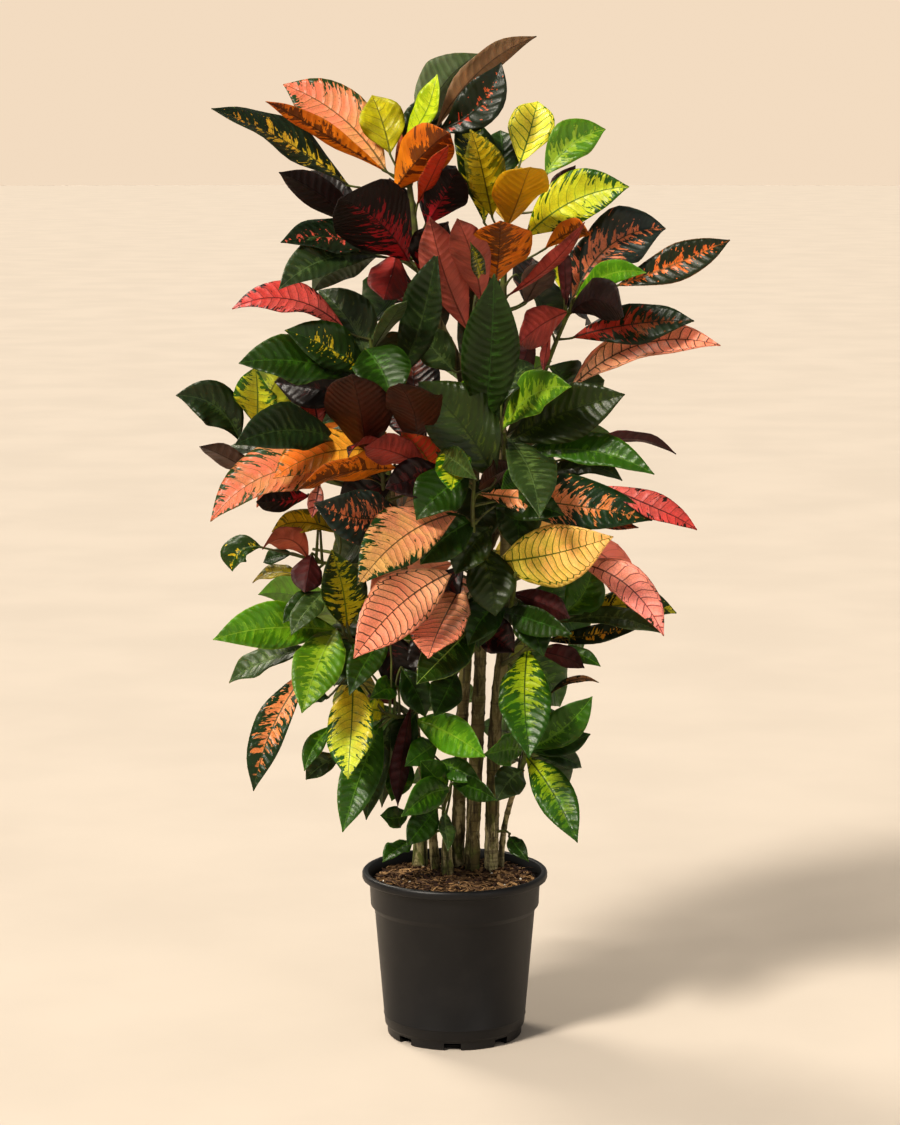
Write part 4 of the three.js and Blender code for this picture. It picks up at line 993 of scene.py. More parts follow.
def soil_material(settings):
    material, bench, shader = new_material("bark_mix", Roughness=0.95)
    place = bench.object_place()
    crumbs = bench.fade(bench.noise(place, scale=220, detail=4, roughness=0.65), 0.4, 0.75)
    fine = bench.fade(bench.noise(place, scale=1400, detail=3, roughness=0.6), 0.3, 0.75)
    lightness, is_litter, is_white = bench.parts(bench.attribute("litter"))
    # Painted shade: the hollows between the crumbs get a darker copy of the moist mix.
    painted_hollow_shade = [part * HOLLOW_SHADE_SHARE for part in settings.dark]
    ground = bench.mix(crumbs, painted_hollow_shade, settings.dark)
    chip = bench.mix(lightness, settings.dark, settings.light)
    chip = bench.lay(chip, fine, settings.dark, strength=0.6)
    tint = bench.mix(is_litter, ground, chip)
    bench.feed(shader["Base Color"], bench.mix(is_white, tint, settings.white))
    relief = bench.times_plus(fine, times=0.5, plus=crumbs)
    bench.feed(shader["Normal"], bench.bump(relief, distance=0.0006, strength=0.8))
    return material


def soil_height(settings, x, y):
    """Height of the lumpy, slightly domed top of the soil."""
    reach = min(1, math.hypot(x, y) / settings.radius)
    height = settings.level + settings.dome * (1 - reach * reach)
    for layer, (often, high) in enumerate(SOIL_LUMPS):
        height += noise.noise(Vector((x, y, layer * 3)) * often) * high
    return height


class CROTON_OT_soil(Operator):
    """Builds the soil with its bark chips, coir fibres and white grains"""
    bl_idname = "croton.soil"
    bl_label = "Soil"

    def execute(self, context):
        settings = context.scene.croton_soil
        parts = [self.make_ground(settings), *self.scatter(settings)]
        fit(join(parts), "soil", soil_material(settings))
        return {"FINISHED"}

    def make_ground(self, settings):
        deselect_all()
        bpy.ops.mesh.primitive_circle_add(vertices=SOIL_SIDES, radius=settings.radius,
                                          fill_type="NGON", location=(0, 0, settings.level))
        ground = bpy.context.object
        bpy.ops.object.transform_apply(location=True)
        start_editing(ground)
        for _ in range(SOIL_RINGS):
            bpy.ops.mesh.inset(thickness=settings.radius * RING_WIDTH_SHARE)
        bpy.ops.mesh.select_all(action="DESELECT")
        stop_editing()
        for vertex in ground.data.vertices:
            x, y, _ = vertex.co
            vertex.co.z = soil_height(settings, x, y)
            vertex.select = math.hypot(x, y) > settings.radius * EDGE_SHARE
        for edge in ground.data.edges:
            edge.select = all(ground.data.vertices[end].select for end in edge.vertices)
        start_editing(ground, whole=False)
        climb(bpy.ops.mesh.extrude_edges_move, settings.radius, settings.level, SOIL_WALL,
              flatten=0)
        bpy.ops.mesh.edge_face_add()
        turn_faces_out()
        stop_editing()
        smooth(ground, degrees=40)
        self.mark(ground, 0, 0, 0)
        return ground

    def mark(self, part, lightness, is_litter, is_white):
        """Keeps how light a part is, and whether it is a loose one and a white grain."""
        row = (lightness, is_litter, is_white)
        write_values(part.data, "litter", "FLOAT_VECTOR", "vector",
                     row * len(part.data.vertices))

    def make_chip(self):
        deselect_all()
        bpy.ops.mesh.primitive_cube_add(size=1)
        chip = bpy.context.object
        start_editing(chip)
        bpy.ops.transform.resize(value=CHIP_SIZE)
        bpy.ops.mesh.subdivide(number_cuts=1, fractal=0.9, seed=3)
        stop_editing()
        return chip

    def make_fibre(self):
        deselect_all()
        bpy.ops.mesh.primitive_cylinder_add(vertices=3, radius=FIBRE_RADIUS, depth=FIBRE_LENGTH,
                                            rotation=(0, math.pi / 2, 0))
        bpy.ops.object.transform_apply(rotation=True)
        fibre = bpy.context.object
        start_editing(fibre)
        for cut in FIBRE_CUTS:
            bpy.ops.mesh.select_all(action="SELECT")
            bpy.ops.mesh.bisect(plane_co=(cut, 0, 0), plane_no=(1, 0, 0))
        stop_editing()
        for vertex in fibre.data.vertices:
            vertex.co.z -= vertex.co.x ** 2 * FIBRE_BOW
            vertex.co.y += math.sin(vertex.co.x * SWAYS) * FIBRE_SWAY
        return fibre

    def make_grain(self):
        deselect_all()
        bpy.ops.mesh.primitive_ico_sphere_add(subdivisions=1, radius=GRAIN_RADIUS)
        return bpy.context.object

    def scatter(self, settings):
        """The loose litter: how many of a kind, their sizes, how dark most are, and if white."""
        draw = random.Random("soil")
        kinds = ((self.make_chip(), settings.chips, (0.4, 1.3), 3.4, 0),
                 (self.make_fibre(), settings.fibres, (0.3, 1.1), 2.0, 0),
                 (self.make_grain(), settings.grains, (0.5, 1.2), 1, 1))
        parts = []
        for master, number, sizes, darkness, is_white in kinds:
            for _ in range(number):
                part = copy_of(master)
                part.data.transform(self.lie(draw, settings, sizes))
                self.mark(part, draw.random() ** darkness, 1, is_white)
                parts.append(part)
            bpy.data.objects.remove(master)
        return parts

    def lie(self, draw, settings, sizes):
        """A place, turn, tilt and size at random on top of the soil."""
        reach = math.sqrt(draw.random()) * (settings.radius - CLEAR_OF_WALL)
        round_pot = draw.uniform(0, math.tau)
        x, y = math.cos(round_pot) * reach, math.sin(round_pot) * reach
        tilt = (Matrix.Rotation(draw.gauss(0, LITTER_TILT), 4, "X")
                @ Matrix.Rotation(draw.gauss(0, LITTER_TILT), 4, "Y"))
        z = soil_height(settings, x, y) + draw.uniform(0, LITTER_DEPTH)
        turn = Matrix.Rotation(draw.uniform(0, math.tau), 4, "Z")
        size = Matrix.Scale(draw.uniform(*sizes), 4)
        return Matrix.Translation((x, y, z)) @ turn @ tilt @ size


# ---- canes ----------------------------------------------------------------------------------
# How wide a scar ring is, as a share of the spacing, and how soon the spacing changes.
SCAR_WIDTH = 0.14
SCAR_UNEVENNESS = 0.02
# A cane is a little thinner than its solid where it has no lump.
CANE_SLIMNESS = 0.99
LUMP_SCALE = 0.05
LUMP_HEIGHT = 0.12
LUMP_OFFSET = Vector((7, 0, 0))


def bark_material(settings):
    material, bench, shader = new_material("cane_bark", Roughness=0.85)
    place = bench.object_place()
    dirt = bench.group(grime, {"Place": place, "Patch Scale": 60, "Speck Scale": 1500})
    foot = bench.fade(bench.parts(place)[2], 0.17, 0.32, 1, 0)
    long_patches = bench.noise(bench.scaled(place, (1, 1, 0.28)), scale=62, detail=5,
                               roughness=0.65, distortion=0.8)
    patches = bench.fade(long_patches, 0.46, 0.56)
    green = bench.fade(bench.noise(place, scale=30, detail=3), 0.42, 0.58, 0.1, 0.95)
    green = bench.times(green, bench.times_plus(foot, times=0.7, plus=0.3))
    tint = bench.mix(green, settings.bark, settings.green)
    pale = bench.times(patches, bench.times_plus(foot, times=0.55, plus=0.28))
    tint = bench.mix(pale, tint, settings.pale)
    cracks = bench.noise(bench.scaled(place, (190, 190, 22)), detail=4, roughness=0.65,
                         distortion=0.5)
    cracks = bench.fade(cracks, 0.47, 0.6)
    tint = bench.lay(tint, cracks, settings.dark, strength=0.7)
    rings = bench.noise(bench.scaled(place, (30, 30, 420)), detail=3, roughness=0.6,
                        distortion=0.3)
    rings = bench.fade(rings, 0.52, 0.7)
    tint = bench.lay(tint, rings, settings.dark, strength=0.45)
    tint = bench.lay(tint, dirt["Specks"], settings.dark, strength=0.6)
    bench.feed(shader["Base Color"], tint)
    relief = bench.times_plus(rings, times=-0.7, plus=patches)
    relief = bench.times_plus(cracks, times=-0.6, plus=relief)
    grain = bench.noise(place, scale=900, detail=3)
    relief = bench.times_plus(grain, times=0.5, plus=relief)
    bench.feed(shader["Normal"], bench.bump(relief, distance=0.0006, strength=0.9))
    return material


class CROTON_OT_canes(Operator):
    """Builds the woody canes with their scar rings and swellings"""
    bl_idname = "croton.canes"
    bl_label = "Canes"

    def execute(self, context):
        settings = context.scene.croton_canes
        bark = bark_material(settings)
        for name, (path, radii) in CANES.items():
            reach = path[-1][2] - path[0][2]
            steps = max(LEAST_CANE_STEPS, int(reach / CANE_STEP))
            points = smooth_path(path, steps)
            swollen = [self.radius_at(settings, point, along_values(radii, step / steps))
                       for step, point in enumerate(points)]
            fit(tubes([(points, swollen)], CANE_SIDES), name, bark)
        return {"FINISHED"}

    def radius_at(self, settings, point, radius):
        """The radius at a point, with the scar ring and the lump that are there."""
        ring = point.z * MM / settings.scar_spacing + noise.noise(point * SCAR_UNEVENNESS)
        scar = max(0, 1 - abs(ring % 1 - 0.5) / SCAR_WIDTH) * settings.scar_height / MM
        lump = noise.noise(point * LUMP_SCALE + LUMP_OFFSET) * LUMP_HEIGHT
        return radius * (CANE_SLIMNESS + lump) + scar


# ---- leaves: where each one is --------------------------------------------------------------
# How far a foot, a tip and a tip's height are moved so that a leaf clears the others.
FOOT_MOVES = (0, 10, -12, -26)
TIP_MOVES = (0, 16, -16, 32, -32, 50, -50, 70, -70, 100)
LIFTS = (0, 9, -9)
NUDGES = sorted(((foot, tip, lift) for foot in FOOT_MOVES for tip in TIP_MOVES for lift in LIFTS),
                key=lambda nudge: math.hypot(*nudge))

# foot, bend and tip of the middle line, the direction across the blade, its width, the place
# where its stalk leaves the stem, and its colours
Plan = namedtuple("Plan", "foot bend tip side width root tone")


def seen(x, z, y):
    """The point at depth y that is seen at (x, z) on the upright plane through the pot's axis."""
    scale = 1 + y / EYE_DISTANCE
    return Vector((x * scale, y, EYE_HEIGHT + (z - EYE_HEIGHT) * scale))


def stream(seed):
    """A repeatable stream of numbers from 0 to 1, as in the solids."""
    factor, cycle = 16807, 2147483647
    state = seed
    while True:
        state = state * factor % cycle
        yield state / cycle


def stretches(stem):
    """The straight stretches of a stem, each from one place to the next."""
    places = [Vector(place) for place in stem]
    return zip(places, places[1:])


def along_stem(stem, reach):
    """The place at a length along a stem, and its end where the stem is shorter."""
    for start, end in stretches(stem):
        span = (end - start).length
        if reach <= span:
            return start.lerp(end, reach / span)
        reach -= span
    return end


def nearest_on_stem(stem, point, spread):
    """The place on a stem nearest to a point, brought down the stem by a share of the spread."""
    nearest, reach, passed = math.inf, 0, 0
    for start, end in stretches(stem):
        line = end - start
        part = min(1, max(0, (point - start).dot(line) / line.length_squared))
        distance = (start + line * part - point).length
        if distance < nearest:
            nearest = distance
            reach = passed + line.length * part
        passed += line.length
    least = STEM_FOOT + spread * FOOT_SPREAD
    return along_stem(stem, max(least, reach - spread * STALK_SPREAD))


def mirrored(stem):
    """A stem behind the canes: it leaves its cane at the same place as the one in front."""
    return (stem[0], *((x, 2 * MIDDLE_DEPTH - y, z) for x, y, z in stem[1:]))


def has_twin(leaf):
    return leaf.out >= TWIN_REACH and leaf.width >= TWIN_WIDTH


def move_behind(leaf, foot, bend, tip, side):
    """Takes a leaf to its mirrored place behind the canes, and a little away from there."""
    # The number that the solids start from too, so that both move the leaf alike.
    seed = math.floor(leaf.foot_x * 7 + leaf.tip_x * 13 + 9000.5)
    draw = stream(seed)
    spread = TWIN_LEAST_SPREAD + next(draw) * TWIN_SPREAD_RANGE
    drop = (next(draw) - TWIN_DROP_SHARE) * TWIN_DROP
    for point in (foot, bend, tip):
        point.y = 2 * MIDDLE_DEPTH - point.y
    side.y *= -1
    side.negate()
    move = Vector((tip.x * (spread - 1), next(draw) * TWIN_SHIFT, drop))
    tip += move
    bend += move * 0.5


def plan_leaf(shoot, stem, order, behind, nudge):
    """The middle line, direction and root of one leaf, in millimetres."""
    leaf = Leaf(*shoot.leaves[order])
    depth = nearest_on_stem(shoot.stem, Vector((leaf.foot_x, 0, leaf.foot_z)), 0).y - leaf.start
    foot_back, tip_back, lift = nudge
    foot = seen(leaf.foot_x, leaf.foot_z, depth + foot_back)
    tip = seen(leaf.tip_x, leaf.tip_z + lift, depth - leaf.out + tip_back)
    run = (tip - foot).normalized()
    to_front = (Vector((0, -1, 0)) + run * run.y).normalized()
    across = run.cross(to_front)
    if across.z < 0:
        across.negate()
    face = math.radians(leaf.face)
    up = to_front * math.sin(face) + across * math.cos(face)
    rise = Vector((0, 0, 1)) - run * run.z
    bow = rise.normalized() if rise.length > LEAST_LIFT else up
    bend = (foot + tip) / 2 + bow * leaf.arch
    side = run.cross(up)
    shown = abs(math.sin(face)) * math.cos(math.radians(BLADE_FOLD))
    width = leaf.width / max(LEAST_SHOWN, shown)
    if behind:
        move_behind(leaf, foot, bend, tip, side)
    share_down = ((order + (0.5 if behind else 0)) * GOLDEN) % 1
    root = nearest_on_stem(stem, foot - Vector((0, 0, ROOT_DROP)), share_down)
    return Plan(foot, bend, tip, side, width, root, TONES[leaf.tone])


def find_leaf(shoot, stem, order, behind, corners):
    """The plan whose tip is a corner of the node's solid, or None where the solid has none."""
    for nudge in NUDGES:
        plan = plan_leaf(shoot, stem, order, behind, nudge)
        if corners.find(plan.tip * MM)[2] < TIP_MATCH:
            return plan
    return None


def leaves_of(node):
    """The stem, its radius and the leaf plans of one leafy node."""
    name = node.removesuffix("_back")
    shoot = SHOOTS[name]
    is_back = node != name
    stem = mirrored(shoot.stem) if is_back else shoot.stem
    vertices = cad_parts[node].data.vertices
    corners = kdtree.KDTree(len(vertices))
    for index, vertex in enumerate(vertices):
        corners.insert(vertex.co, index)
    corners.balance()
    sides = {"same": (False, True), "own": (is_back,), "none": (False,)}[shoot.back]
    plans = []
    for behind in sides:
        for order, row in enumerate(shoot.leaves):
            if not behind or has_twin(Leaf(*row)):
                plans.append(find_leaf(shoot, stem, order, behind, corners))
    return stem, shoot.radius, [plan for plan in plans if plan]


# ---- leaves: how each one looks -------------------------------------------------------------
# Rows stand closer towards both ends of a blade but for this share, and columns towards its
# midrib by this power.
ROW_EVENNESS = 0.35
COLUMN_CROWDING = 1.15
# A blade is never thinner than this, in millimetres at its tip, and more at its foot.
LEAST_HALF = 0.5
LEAST_HALF_RISE = 0.6
# How far blades differ: one half wider than the other, the middle line swayed by a share of
# its length, and the fold and the twist in degrees.
LOPSIDED = 0.07
SWAY = 0.045
FOLD_CHANGE = (-5, 7)
TWIST = 14
TWIST_START = 0.35
# A blade that isn't this many times as long as wide is folded and waved more.
SQUAT_LIMIT = 1.9
SQUAT_FOLD = 8
SQUAT_WAVE = 0.5
# The halves rise most near the midrib.
LIFT_BEND = 0.3
# How many waves a margin has, and how high they are against the setting.
WAVES = (1.4, 2.6)
WAVE_HEIGHT = (0.5, 1.1)
# The tip curls down by this much, in millimetres.
CURL = (-1, 7)
CURL_START = 0.68
# How much thinner a blade gets from its foot to its tip.
TIP_THINNING = 0.6
# A leaf's own amount of patches, and how light its colours are.
AMOUNT_CHANGE = (0.88, 1.12)
SHADE_CHANGE = (0.9, 1.1)
PAINTS = ("ground", "blotch", "tip", "vein", "under")


def outline(along):
    """Half the width of a blade as a share of its widest place."""
    full = np.sin(np.pi * along ** OUTLINE_LEAN) ** OUTLINE_FULLNESS
    pinch = np.clip((along - TIP_START) / (1 - TIP_START), 0, 1)
    return full * (1 - TIP_PINCH * pinch ** 2)


def unit(rows):
    return rows / np.linalg.norm(rows, axis=1, keepdims=True)


def steered(values, directions):
    """Each direction, as long as its value."""
    return directions * values[:, None]


class Blades:
    """A flat master blade with two sides, and the code that shapes its copies."""

    def __init__(self, settings, material):
        self.settings = settings
        deselect_all()
        bpy.ops.mesh.primitive_grid_add(x_subdivisions=settings.rows,
                                        y_subdivisions=settings.columns, size=2)
        self.master = bpy.context.object
        modifier = self.master.modifiers.new("two_sides", "SOLIDIFY")
        modifier.thickness = 1
        modifier.offset = -1
        bpy.ops.object.modifier_apply(modifier=modifier.name)
        bpy.ops.object.shade_smooth()
        mesh = self.master.data
        mesh.materials.append(material)
        flat = np.zeros(len(mesh.vertices) * 3)
        mesh.vertices.foreach_get("co", flat)
        x, y, z = flat.reshape(-1, 3).T
        even = (x + 1) / 2
        crowded = 0.5 - 0.5 * np.cos(np.pi * even)
        self.along = ROW_EVENNESS * even + (1 - ROW_EVENNESS) * crowded
        self.across = np.sign(y) * np.abs(y) ** COLUMN_CROWDING
        self.under = z < -0.5
        loops = np.zeros(len(mesh.loops), dtype=int)
        mesh.loops.foreach_get("vertex_index", loops)
        chart = np.stack([self.along[loops], 0.5 + 0.5 * self.across[loops]], 1)
        mesh.uv_layers[0].name = "blade"
        mesh.uv_layers[0].data.foreach_set("uv", chart.ravel())

    def middle_line(self, plan):
        """The middle line at each corner, and the directions across the blade and up there."""
        foot, bend, tip = (np.array(point) for point in (plan.foot, plan.bend, plan.tip))
        along, rest = self.along, 1 - self.along
        spine = (np.outer(rest ** 2, foot) + np.outer(2 * rest * along, bend)
                 + np.outer(along ** 2, tip))
        run = unit(np.outer(rest, bend - foot) + np.outer(along, tip - bend))
        side = np.array(plan.side)
        flat = unit(side - steered(run @ side, run))
        return spine, flat, np.cross(flat, run)

    def waves(self, draw, half, squat):
        """How high the waves of both margins lift each corner."""
        out = np.abs(self.across)
        lift = np.zeros(len(out))
        for edge in (-1, 1):
            turns = draw.uniform(*WAVES)
            start = draw.uniform(0, math.tau)
            height = self.settings.wave * draw.uniform(*WAVE_HEIGHT) * (1 + SQUAT_WAVE * squat)
            wave = half * height * out ** 2 * np.sin(math.tau * turns * self.along + start)
            lift += np.where(self.across * edge > 0, wave, 0) * np.sin(np.pi * self.along)
        return lift

    def shape(self, plan, draw):
        """The corners of one blade, bent along its middle line, folded, twisted and waved."""
        settings, along, out = self.settings, self.along, np.abs(self.across)
        spine, flat, up = self.middle_line(plan)
        half = np.maximum(plan.width / 2 * outline(along),
                          LEAST_HALF + LEAST_HALF_RISE * (1 - along))
        half = half * (1 + draw.uniform(-LOPSIDED, LOPSIDED) * np.sign(self.across))
        reach = (plan.tip - plan.foot).length
        squat = min(1, max(0, SQUAT_LIMIT - reach / plan.width))
        spine = spine + steered(draw.uniform(-SWAY, SWAY) * reach * np.sin(np.pi * along), flat)
        fold = settings.fold + math.radians(draw.uniform(*FOLD_CHANGE) + SQUAT_FOLD * squat)
        twist = math.radians(draw.uniform(-TWIST, TWIST)) * (along - TWIST_START)
        turned_flat = steered(np.cos(twist), flat) + steered(np.sin(twist), up)
        turned_up = steered(np.cos(twist), up) - steered(np.sin(twist), flat)
        lift = half * math.sin(fold) * out * (1 + LIFT_BEND - LIFT_BEND * out)
        lift = lift + self.waves(draw, half, squat)
        beyond = np.clip((along - CURL_START) / (1 - CURL_START), 0, 1)
        lift = lift - draw.uniform(*CURL) * beyond ** 2
        rib, margin = settings.rib_thickness / MM, settings.margin_thickness / MM
        thick = margin + (rib - margin) * (1 - out) ** 3 * (1 - TIP_THINNING * along)
        lift = lift + margin / 2 - np.where(self.under, thick, 0)
        shaped = (spine + steered(self.across * half * math.cos(fold), turned_flat)
                  + steered(lift, turned_up))
        return shaped * MM, half

    def copy(self, plan, seed):
        """One finished blade with its place, its habit and its colours for the material."""
        draw = random.Random(seed)
        blade = copy_of(self.master)
        mesh = blade.data
        shaped, half = self.shape(plan, draw)
        mesh.vertices.foreach_set("co", shaped.ravel())
        corners = len(half)
        reach = (plan.tip - plan.foot).length
        number = np.full(corners, draw.random())
        place = np.stack([self.along * reach, self.across * half, number], 1)
        write_values(mesh, "blade_place", "FLOAT_VECTOR", "vector", place)
        tone = plan.tone
        amount = tone.amount * draw.uniform(*AMOUNT_CHANGE)
        habit = np.tile((amount, tone.spots, tone.show, tone.lean), (corners, 1))
        write_values(mesh, "blade_habit", "FLOAT_COLOR", "color", habit)
        write_values(mesh, "blade_side", "FLOAT", "value", ~self.under)
        for name in PAINTS:
            shade = draw.uniform(*SHADE_CHANGE)
            paint = [*(min(1, part * shade) for part in linear(getattr(tone, name))), 1]
            write_values(mesh, "blade_" + name, "FLOAT_COLOR", "color",
                         np.tile(paint, (corners, 1)))
        return blade

    def finish(self):
        bpy.data.objects.remove(self.master)


def leaf_material(settings):
    """Croton leaf: a ground with patches and veins above, and a duller underside."""
    material, bench, shader = new_material(
        "croton_blade", Specular_IOR_Level=0.36, Subsurface_Weight=0.3,
        Subsurface_Radius=(1, 0.62, 0.2), Subsurface_Scale=0.0022)
    place = bench.attribute("blade_place")
    habit = bench.node("ShaderNodeAttribute", attribute_name="blade_habit").outputs
    amount, spots, show = bench.parts(habit["Vector"])
    chart = bench.node("ShaderNodeUVMap", uv_map="blade").outputs[0]
    along, over_width, _ = bench.parts(chart)
    out = bench.times(bench.math("ABSOLUTE", bench.minus(over_width, 0.5)), 2)
    bold = bench.fade(amount, 0.78, 0.9)
    spacing = settings.vein_spacing / MM
    veins = bench.group(
        blade_veins, {"Place": place, "Spacing": spacing, "Out": out, "Bold": bold})
    marks = bench.group(
        blade_blotches,
        {"Place": place, "Drawn": veins["Drawn"], "Along": along, "Out": out, "Amount": amount,
         "Spots": spots, "Lean": habit["Alpha"]})
    ground, blotch, tip, vein, under = (
        bench.attribute("blade_" + name, "Color") for name in PAINTS)
    lines, net, shade = veins["Side Veins"], veins["Net"], marks["Shade"]
    from_rib = bench.math("ABSOLUTE", bench.parts(place)[1])
    rib_width = bench.times_plus(along, times=-0.9, plus=1.25)
    rib = bench.fade(bench.math("DIVIDE", from_rib, rib_width), 0.55, 1.1, 1, 0)

    patches = bench.math("MAXIMUM", marks["Blotches"], marks["Dots"])
    toward_tip = bench.fade(bench.times_plus(shade, times=0.4, plus=along), 0.35, 1.05)
    patch = bench.mix(toward_tip, blotch, tip)
    vein_show = bench.times_plus(bold, times=0.3, plus=0.6)
    vein_show = bench.times_plus(patches, times=vein_show, plus=0.1)
    upper = bench.mix(patches, ground, patch)
    upper = bench.lay(upper, lines, vein, strength=vein_show)
    upper = bench.lay(upper, net, vein, strength=bench.times(patches, 0.2))
    upper = bench.lay(upper, rib, vein, strength=0.85)
    upper = bench.mix(bench.fade(out, 0.93, 0.99, 0, 0.45), upper, vein)

    deep = bench.times_plus(shade, times=0.5, plus=bench.times(along, 0.7))
    deep = bench.times_plus(out, times=0.2, plus=deep)
    most = bench.times_plus(bold, times=-0.6, plus=0.75)
    lower = bench.mix(bench.fade(deep, 0.55, 1.15, 0, most), under, ground)
    lower = bench.lay(lower, patches, patch, strength=show)
    darker = bench.mix(1.0, lower, (0.42, 0.38, 0.36), "MULTIPLY")
    drawn = bench.times_plus(lines, times=0.3, plus=bench.times(rib, 0.85))
    lower = bench.mix(bench.math("MINIMUM", drawn, 1.0), lower, darker)

    is_upper = bench.attribute("blade_side", "Fac")
    tint = bench.mix(is_upper, lower, upper)
    light = bench.fade(shade, 0.0, 1.0, 0.82, 1.16)
    bench.feed(shader["Base Color"], bench.shaded(tint, light))
    rough = bench.fade(is_upper, 0, 1, settings.dull, settings.gloss)
    bench.feed(shader["Roughness"], bench.times_plus(shade, times=0.08, plus=rough))
    relief = bench.times_plus(net, times=-0.12, plus=veins["Swelling"])
    relief = bench.times_plus(rib, times=-0.9, plus=relief)
    bench.feed(shader["Normal"], bench.bump(relief, distance=0.0007, strength=0.7))
    return material


def stem_material(settings):
    material, bench, shader = new_material("green_stem", Roughness=0.55)
    place = bench.object_place()
    patches = bench.fade(bench.noise(place, scale=90, detail=3), 0.35, 0.65)
    streaks = bench.fade(bench.noise(bench.scaled(place, (300, 300, 60))), 0.4, 0.7)
    tint = bench.mix(patches, settings.stem, settings.stalk)
    tint = bench.lay(tint, streaks, settings.streak, strength=0.35)
    bench.feed(shader["Base Color"], tint)
    bench.feed(shader["Normal"], bench.bump(streaks, distance=0.0003, strength=0.5))
    return material


def stem_line(stem, radius):
    """A green stem that gets thinner towards its end."""
    radii = [along_values(STEM_TAPER, step / STEM_STEPS) * radius
             for step in range(STEM_STEPS + 1)]
    return smooth_path(stem, STEM_STEPS), radii


def stalk_line(plan):
    """A stalk that bows a little between its stem and its blade, and swells at both ends."""
    run = (plan.bend - plan.foot).normalized()
    span = (plan.foot - plan.root).length
    bow = plan.foot - run * span * STALK_BOW
    middle = plan.root.lerp(plan.foot, 0.5).lerp(bow, BOW_SHARE)
    into_blade = plan.foot + run * STALK_OVERLAP
    path = smooth_path((plan.root, middle, plan.foot, into_blade), STALK_STEPS)
    radii = [along_values(STALK_RADII, step / STALK_STEPS) for step in range(STALK_STEPS + 1)]
    return path, radii


class CROTON_OT_leaves(Operator):
    """Builds every leafy shoot: its green stem, stalks and variegated blades"""
    bl_idname = "croton.leaves"
    bl_label = "Leafy shoots"

    def execute(self, context):
        settings = context.scene.croton_leaves
        blades = Blades(settings, leaf_material(settings))
        green = stem_material(settings)
        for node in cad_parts:
            if node.removesuffix("_back") in SHOOTS:
                fit(self.make_shoot(node, blades, green), node)
        blades.finish()
        return {"FINISHED"}

    def make_shoot(self, node, blades, green):
        stem, radius, plans = leaves_of(node)
        rods = tubes([stem_line(stem, radius), *map(stalk_line, plans)], STALK_SIDES)
        rods.data.materials.append(green)
        parts = [blades.copy(plan, f"{node} {index}") for index, plan in enumerate(plans)]
        return join([*parts, rods])


# ---- stage ----------------------------------------------------------------------------------
# Lights: where each stands, its power, its softness and its colour. The softness is a sun's
# angle in degrees, or the width of the soft lamp.
SUNS = {
    "key": ((-1.7, -1.8, 2.2), 2.9, 12, (1, 0.93, 0.83)),
    "glow": ((-1.2, 1.3, 1.8), 1.4, 20, (1, 0.92, 0.8)),
    "fill": ((2.0, -2.4, 0.8), 0.26, 35, (1, 0.97, 0.94)),
}
CROWN_LAMP = ((-1.0, -1.3, 2.1), 9, 0.7, (1, 0.94, 0.84))
CROWN_TARGET = (0, 0, 0.9)
AIR_LIGHT = (1, 0.96, 0.9)
AIR_POWER = 0.3
SENSOR_WIDTH = 36
FLOOR_SIDES = 96


def add_light(kind, name, place, target, power, tint):
    """A light that stands at a place and shines at a target."""
    deselect_all()
    bpy.ops.object.light_add(type=kind, location=place)
    light = bpy.context.object
    light.name = name
    light.data.energy = power
    light.data.color = tint
    aim = Vector(target) - Vector(place)
    light.rotation_euler = aim.to_track_quat("-Z", "Y").to_euler()
    return light.data


def plaster_material(settings):
    material, bench, shader = new_material("plaster", Roughness=0.9)
    clouds = bench.noise(bench.object_place(), scale=3, detail=4)
    light = bench.fade(clouds, 0.3, 0.7, 0.96, 1.02)
    bench.feed(shader["Base Color"], bench.shaded(settings.floor, light))
    return material


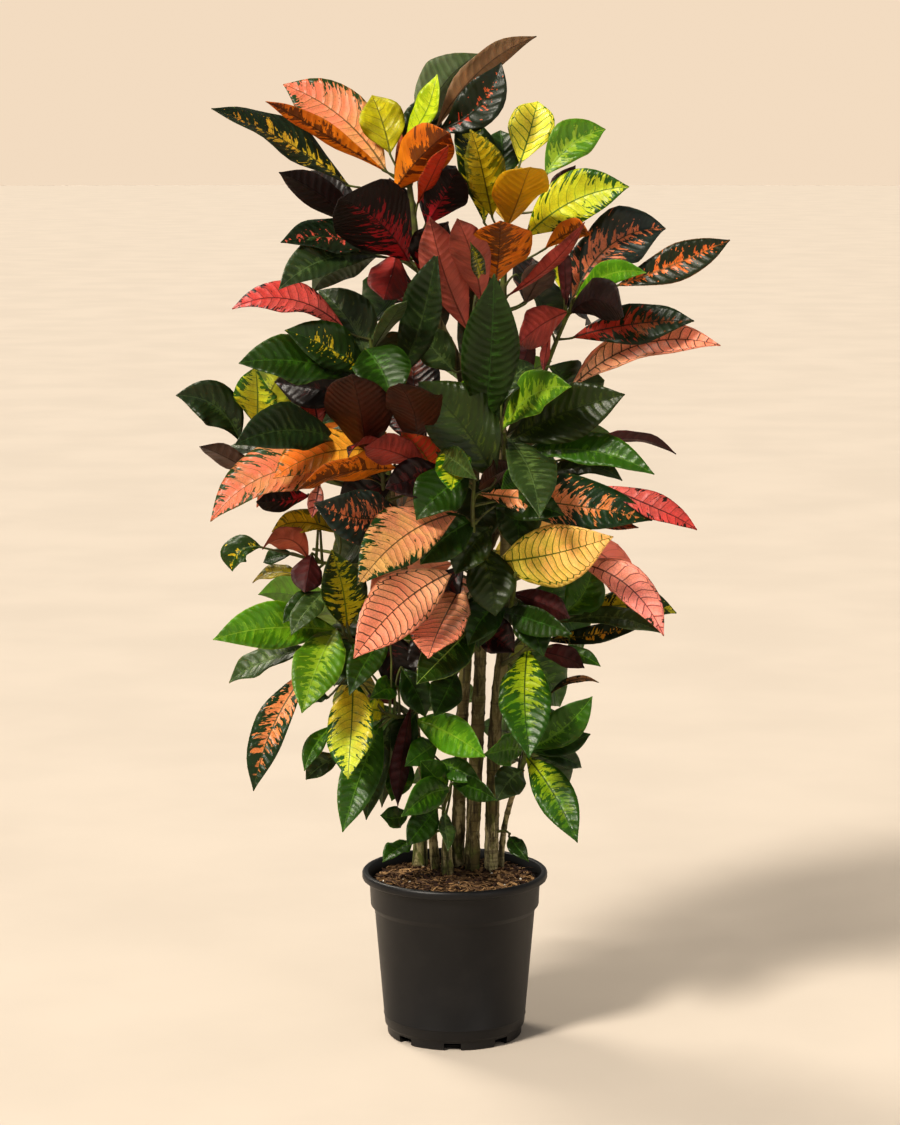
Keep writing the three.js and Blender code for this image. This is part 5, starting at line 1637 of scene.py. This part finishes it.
class CROTON_OT_stage(Operator):
    """Sets the pale floor and backdrop, the soft lights and the camera"""
    bl_idname = "croton.stage"
    bl_label = "Stage"

    def execute(self, context):
        settings = context.scene.croton_stage
        deselect_all()
        bpy.ops.mesh.primitive_circle_add(vertices=FLOOR_SIDES, radius=settings.floor_radius,
                                          fill_type="NGON")
        floor = context.object
        floor.name = "floor"
        floor.data.materials.append(plaster_material(settings))
        self.add_lights()
        self.add_air(context, settings)
        self.add_camera(context, settings)
        context.scene.view_settings.view_transform = "Standard"
        context.scene.view_settings.look = "Medium High Contrast"
        return {"FINISHED"}

    def add_lights(self):
        for name, (place, power, softness, tint) in SUNS.items():
            sun = add_light("SUN", name, place, (0, 0, 0), power, tint)
            sun.angle = math.radians(softness)
        place, power, width, tint = CROWN_LAMP
        lamp = add_light("AREA", "crown", place, CROWN_TARGET, power, tint)
        lamp.shape = "DISK"
        lamp.size = width

    def add_air(self, context, settings):
        """A dim light from all round, and a backdrop that only the camera sees."""
        world = bpy.data.worlds.new("studio_air")
        world.use_nodes = True
        bench = Bench(world.node_tree)
        air = world.node_tree.nodes["Background"]
        bench.feed(air.inputs["Color"], AIR_LIGHT)
        bench.feed(air.inputs["Strength"], AIR_POWER)
        shown = bench.node("ShaderNodeBackground", {"Color": settings.air})
        is_seen = bench.node("ShaderNodeLightPath").outputs["Is Camera Ray"]
        both = bench.node("ShaderNodeMixShader",
                          {0: is_seen, 1: air.outputs[0], 2: shown.outputs[0]})
        bench.feed(world.node_tree.nodes["World Output"].inputs["Surface"], both.outputs[0])
        context.scene.world = world

    def add_camera(self, context, settings):
        deselect_all()
        place = (-settings.camera_aside, -settings.camera_distance, settings.camera_height)
        pitch = math.pi / 2 - settings.camera_pitch
        bpy.ops.object.camera_add(location=place, rotation=(pitch, 0, 0))
        camera = context.object
        camera.data.lens = settings.lens
        camera.data.sensor_width = SENSOR_WIDTH
        context.scene.camera = camera


# ---- panel and registration -----------------------------------------------------------------
class CROTON_PT_panel(Panel):
    """Lists the croton's settings and pieces in the sidebar"""
    bl_label = "Potted Croton"
    bl_idname = "CROTON_PT_panel"
    bl_space_type = "VIEW_3D"
    bl_region_type = "UI"
    bl_category = "Croton"

    def draw(self, context):
        for operator in OPERATORS:
            box = self.layout.box()
            name = "croton_" + operator.bl_idname.split(".")[1]
            for field in SETTINGS[name].__annotations__:
                box.prop(getattr(context.scene, name), field)
            box.operator(operator.bl_idname)


OPERATORS = (CROTON_OT_stage, CROTON_OT_pot, CROTON_OT_soil, CROTON_OT_canes, CROTON_OT_leaves)
CLASSES = (*SETTINGS.values(), *OPERATORS, CROTON_PT_panel)


def register():
    for each in CLASSES:
        bpy.utils.register_class(each)
    for name, group in SETTINGS.items():
        setattr(bpy.types.Scene, name, PointerProperty(type=group))


def unregister():
    for name in SETTINGS:
        delattr(bpy.types.Scene, name)
    for each in reversed(CLASSES):
        bpy.utils.unregister_class(each)


def main():
    register()
    bpy.ops.croton.stage()
    bpy.ops.croton.pot()
    bpy.ops.croton.soil()
    bpy.ops.croton.canes()
    bpy.ops.croton.leaves()


if __name__ == "__main__":
    main()
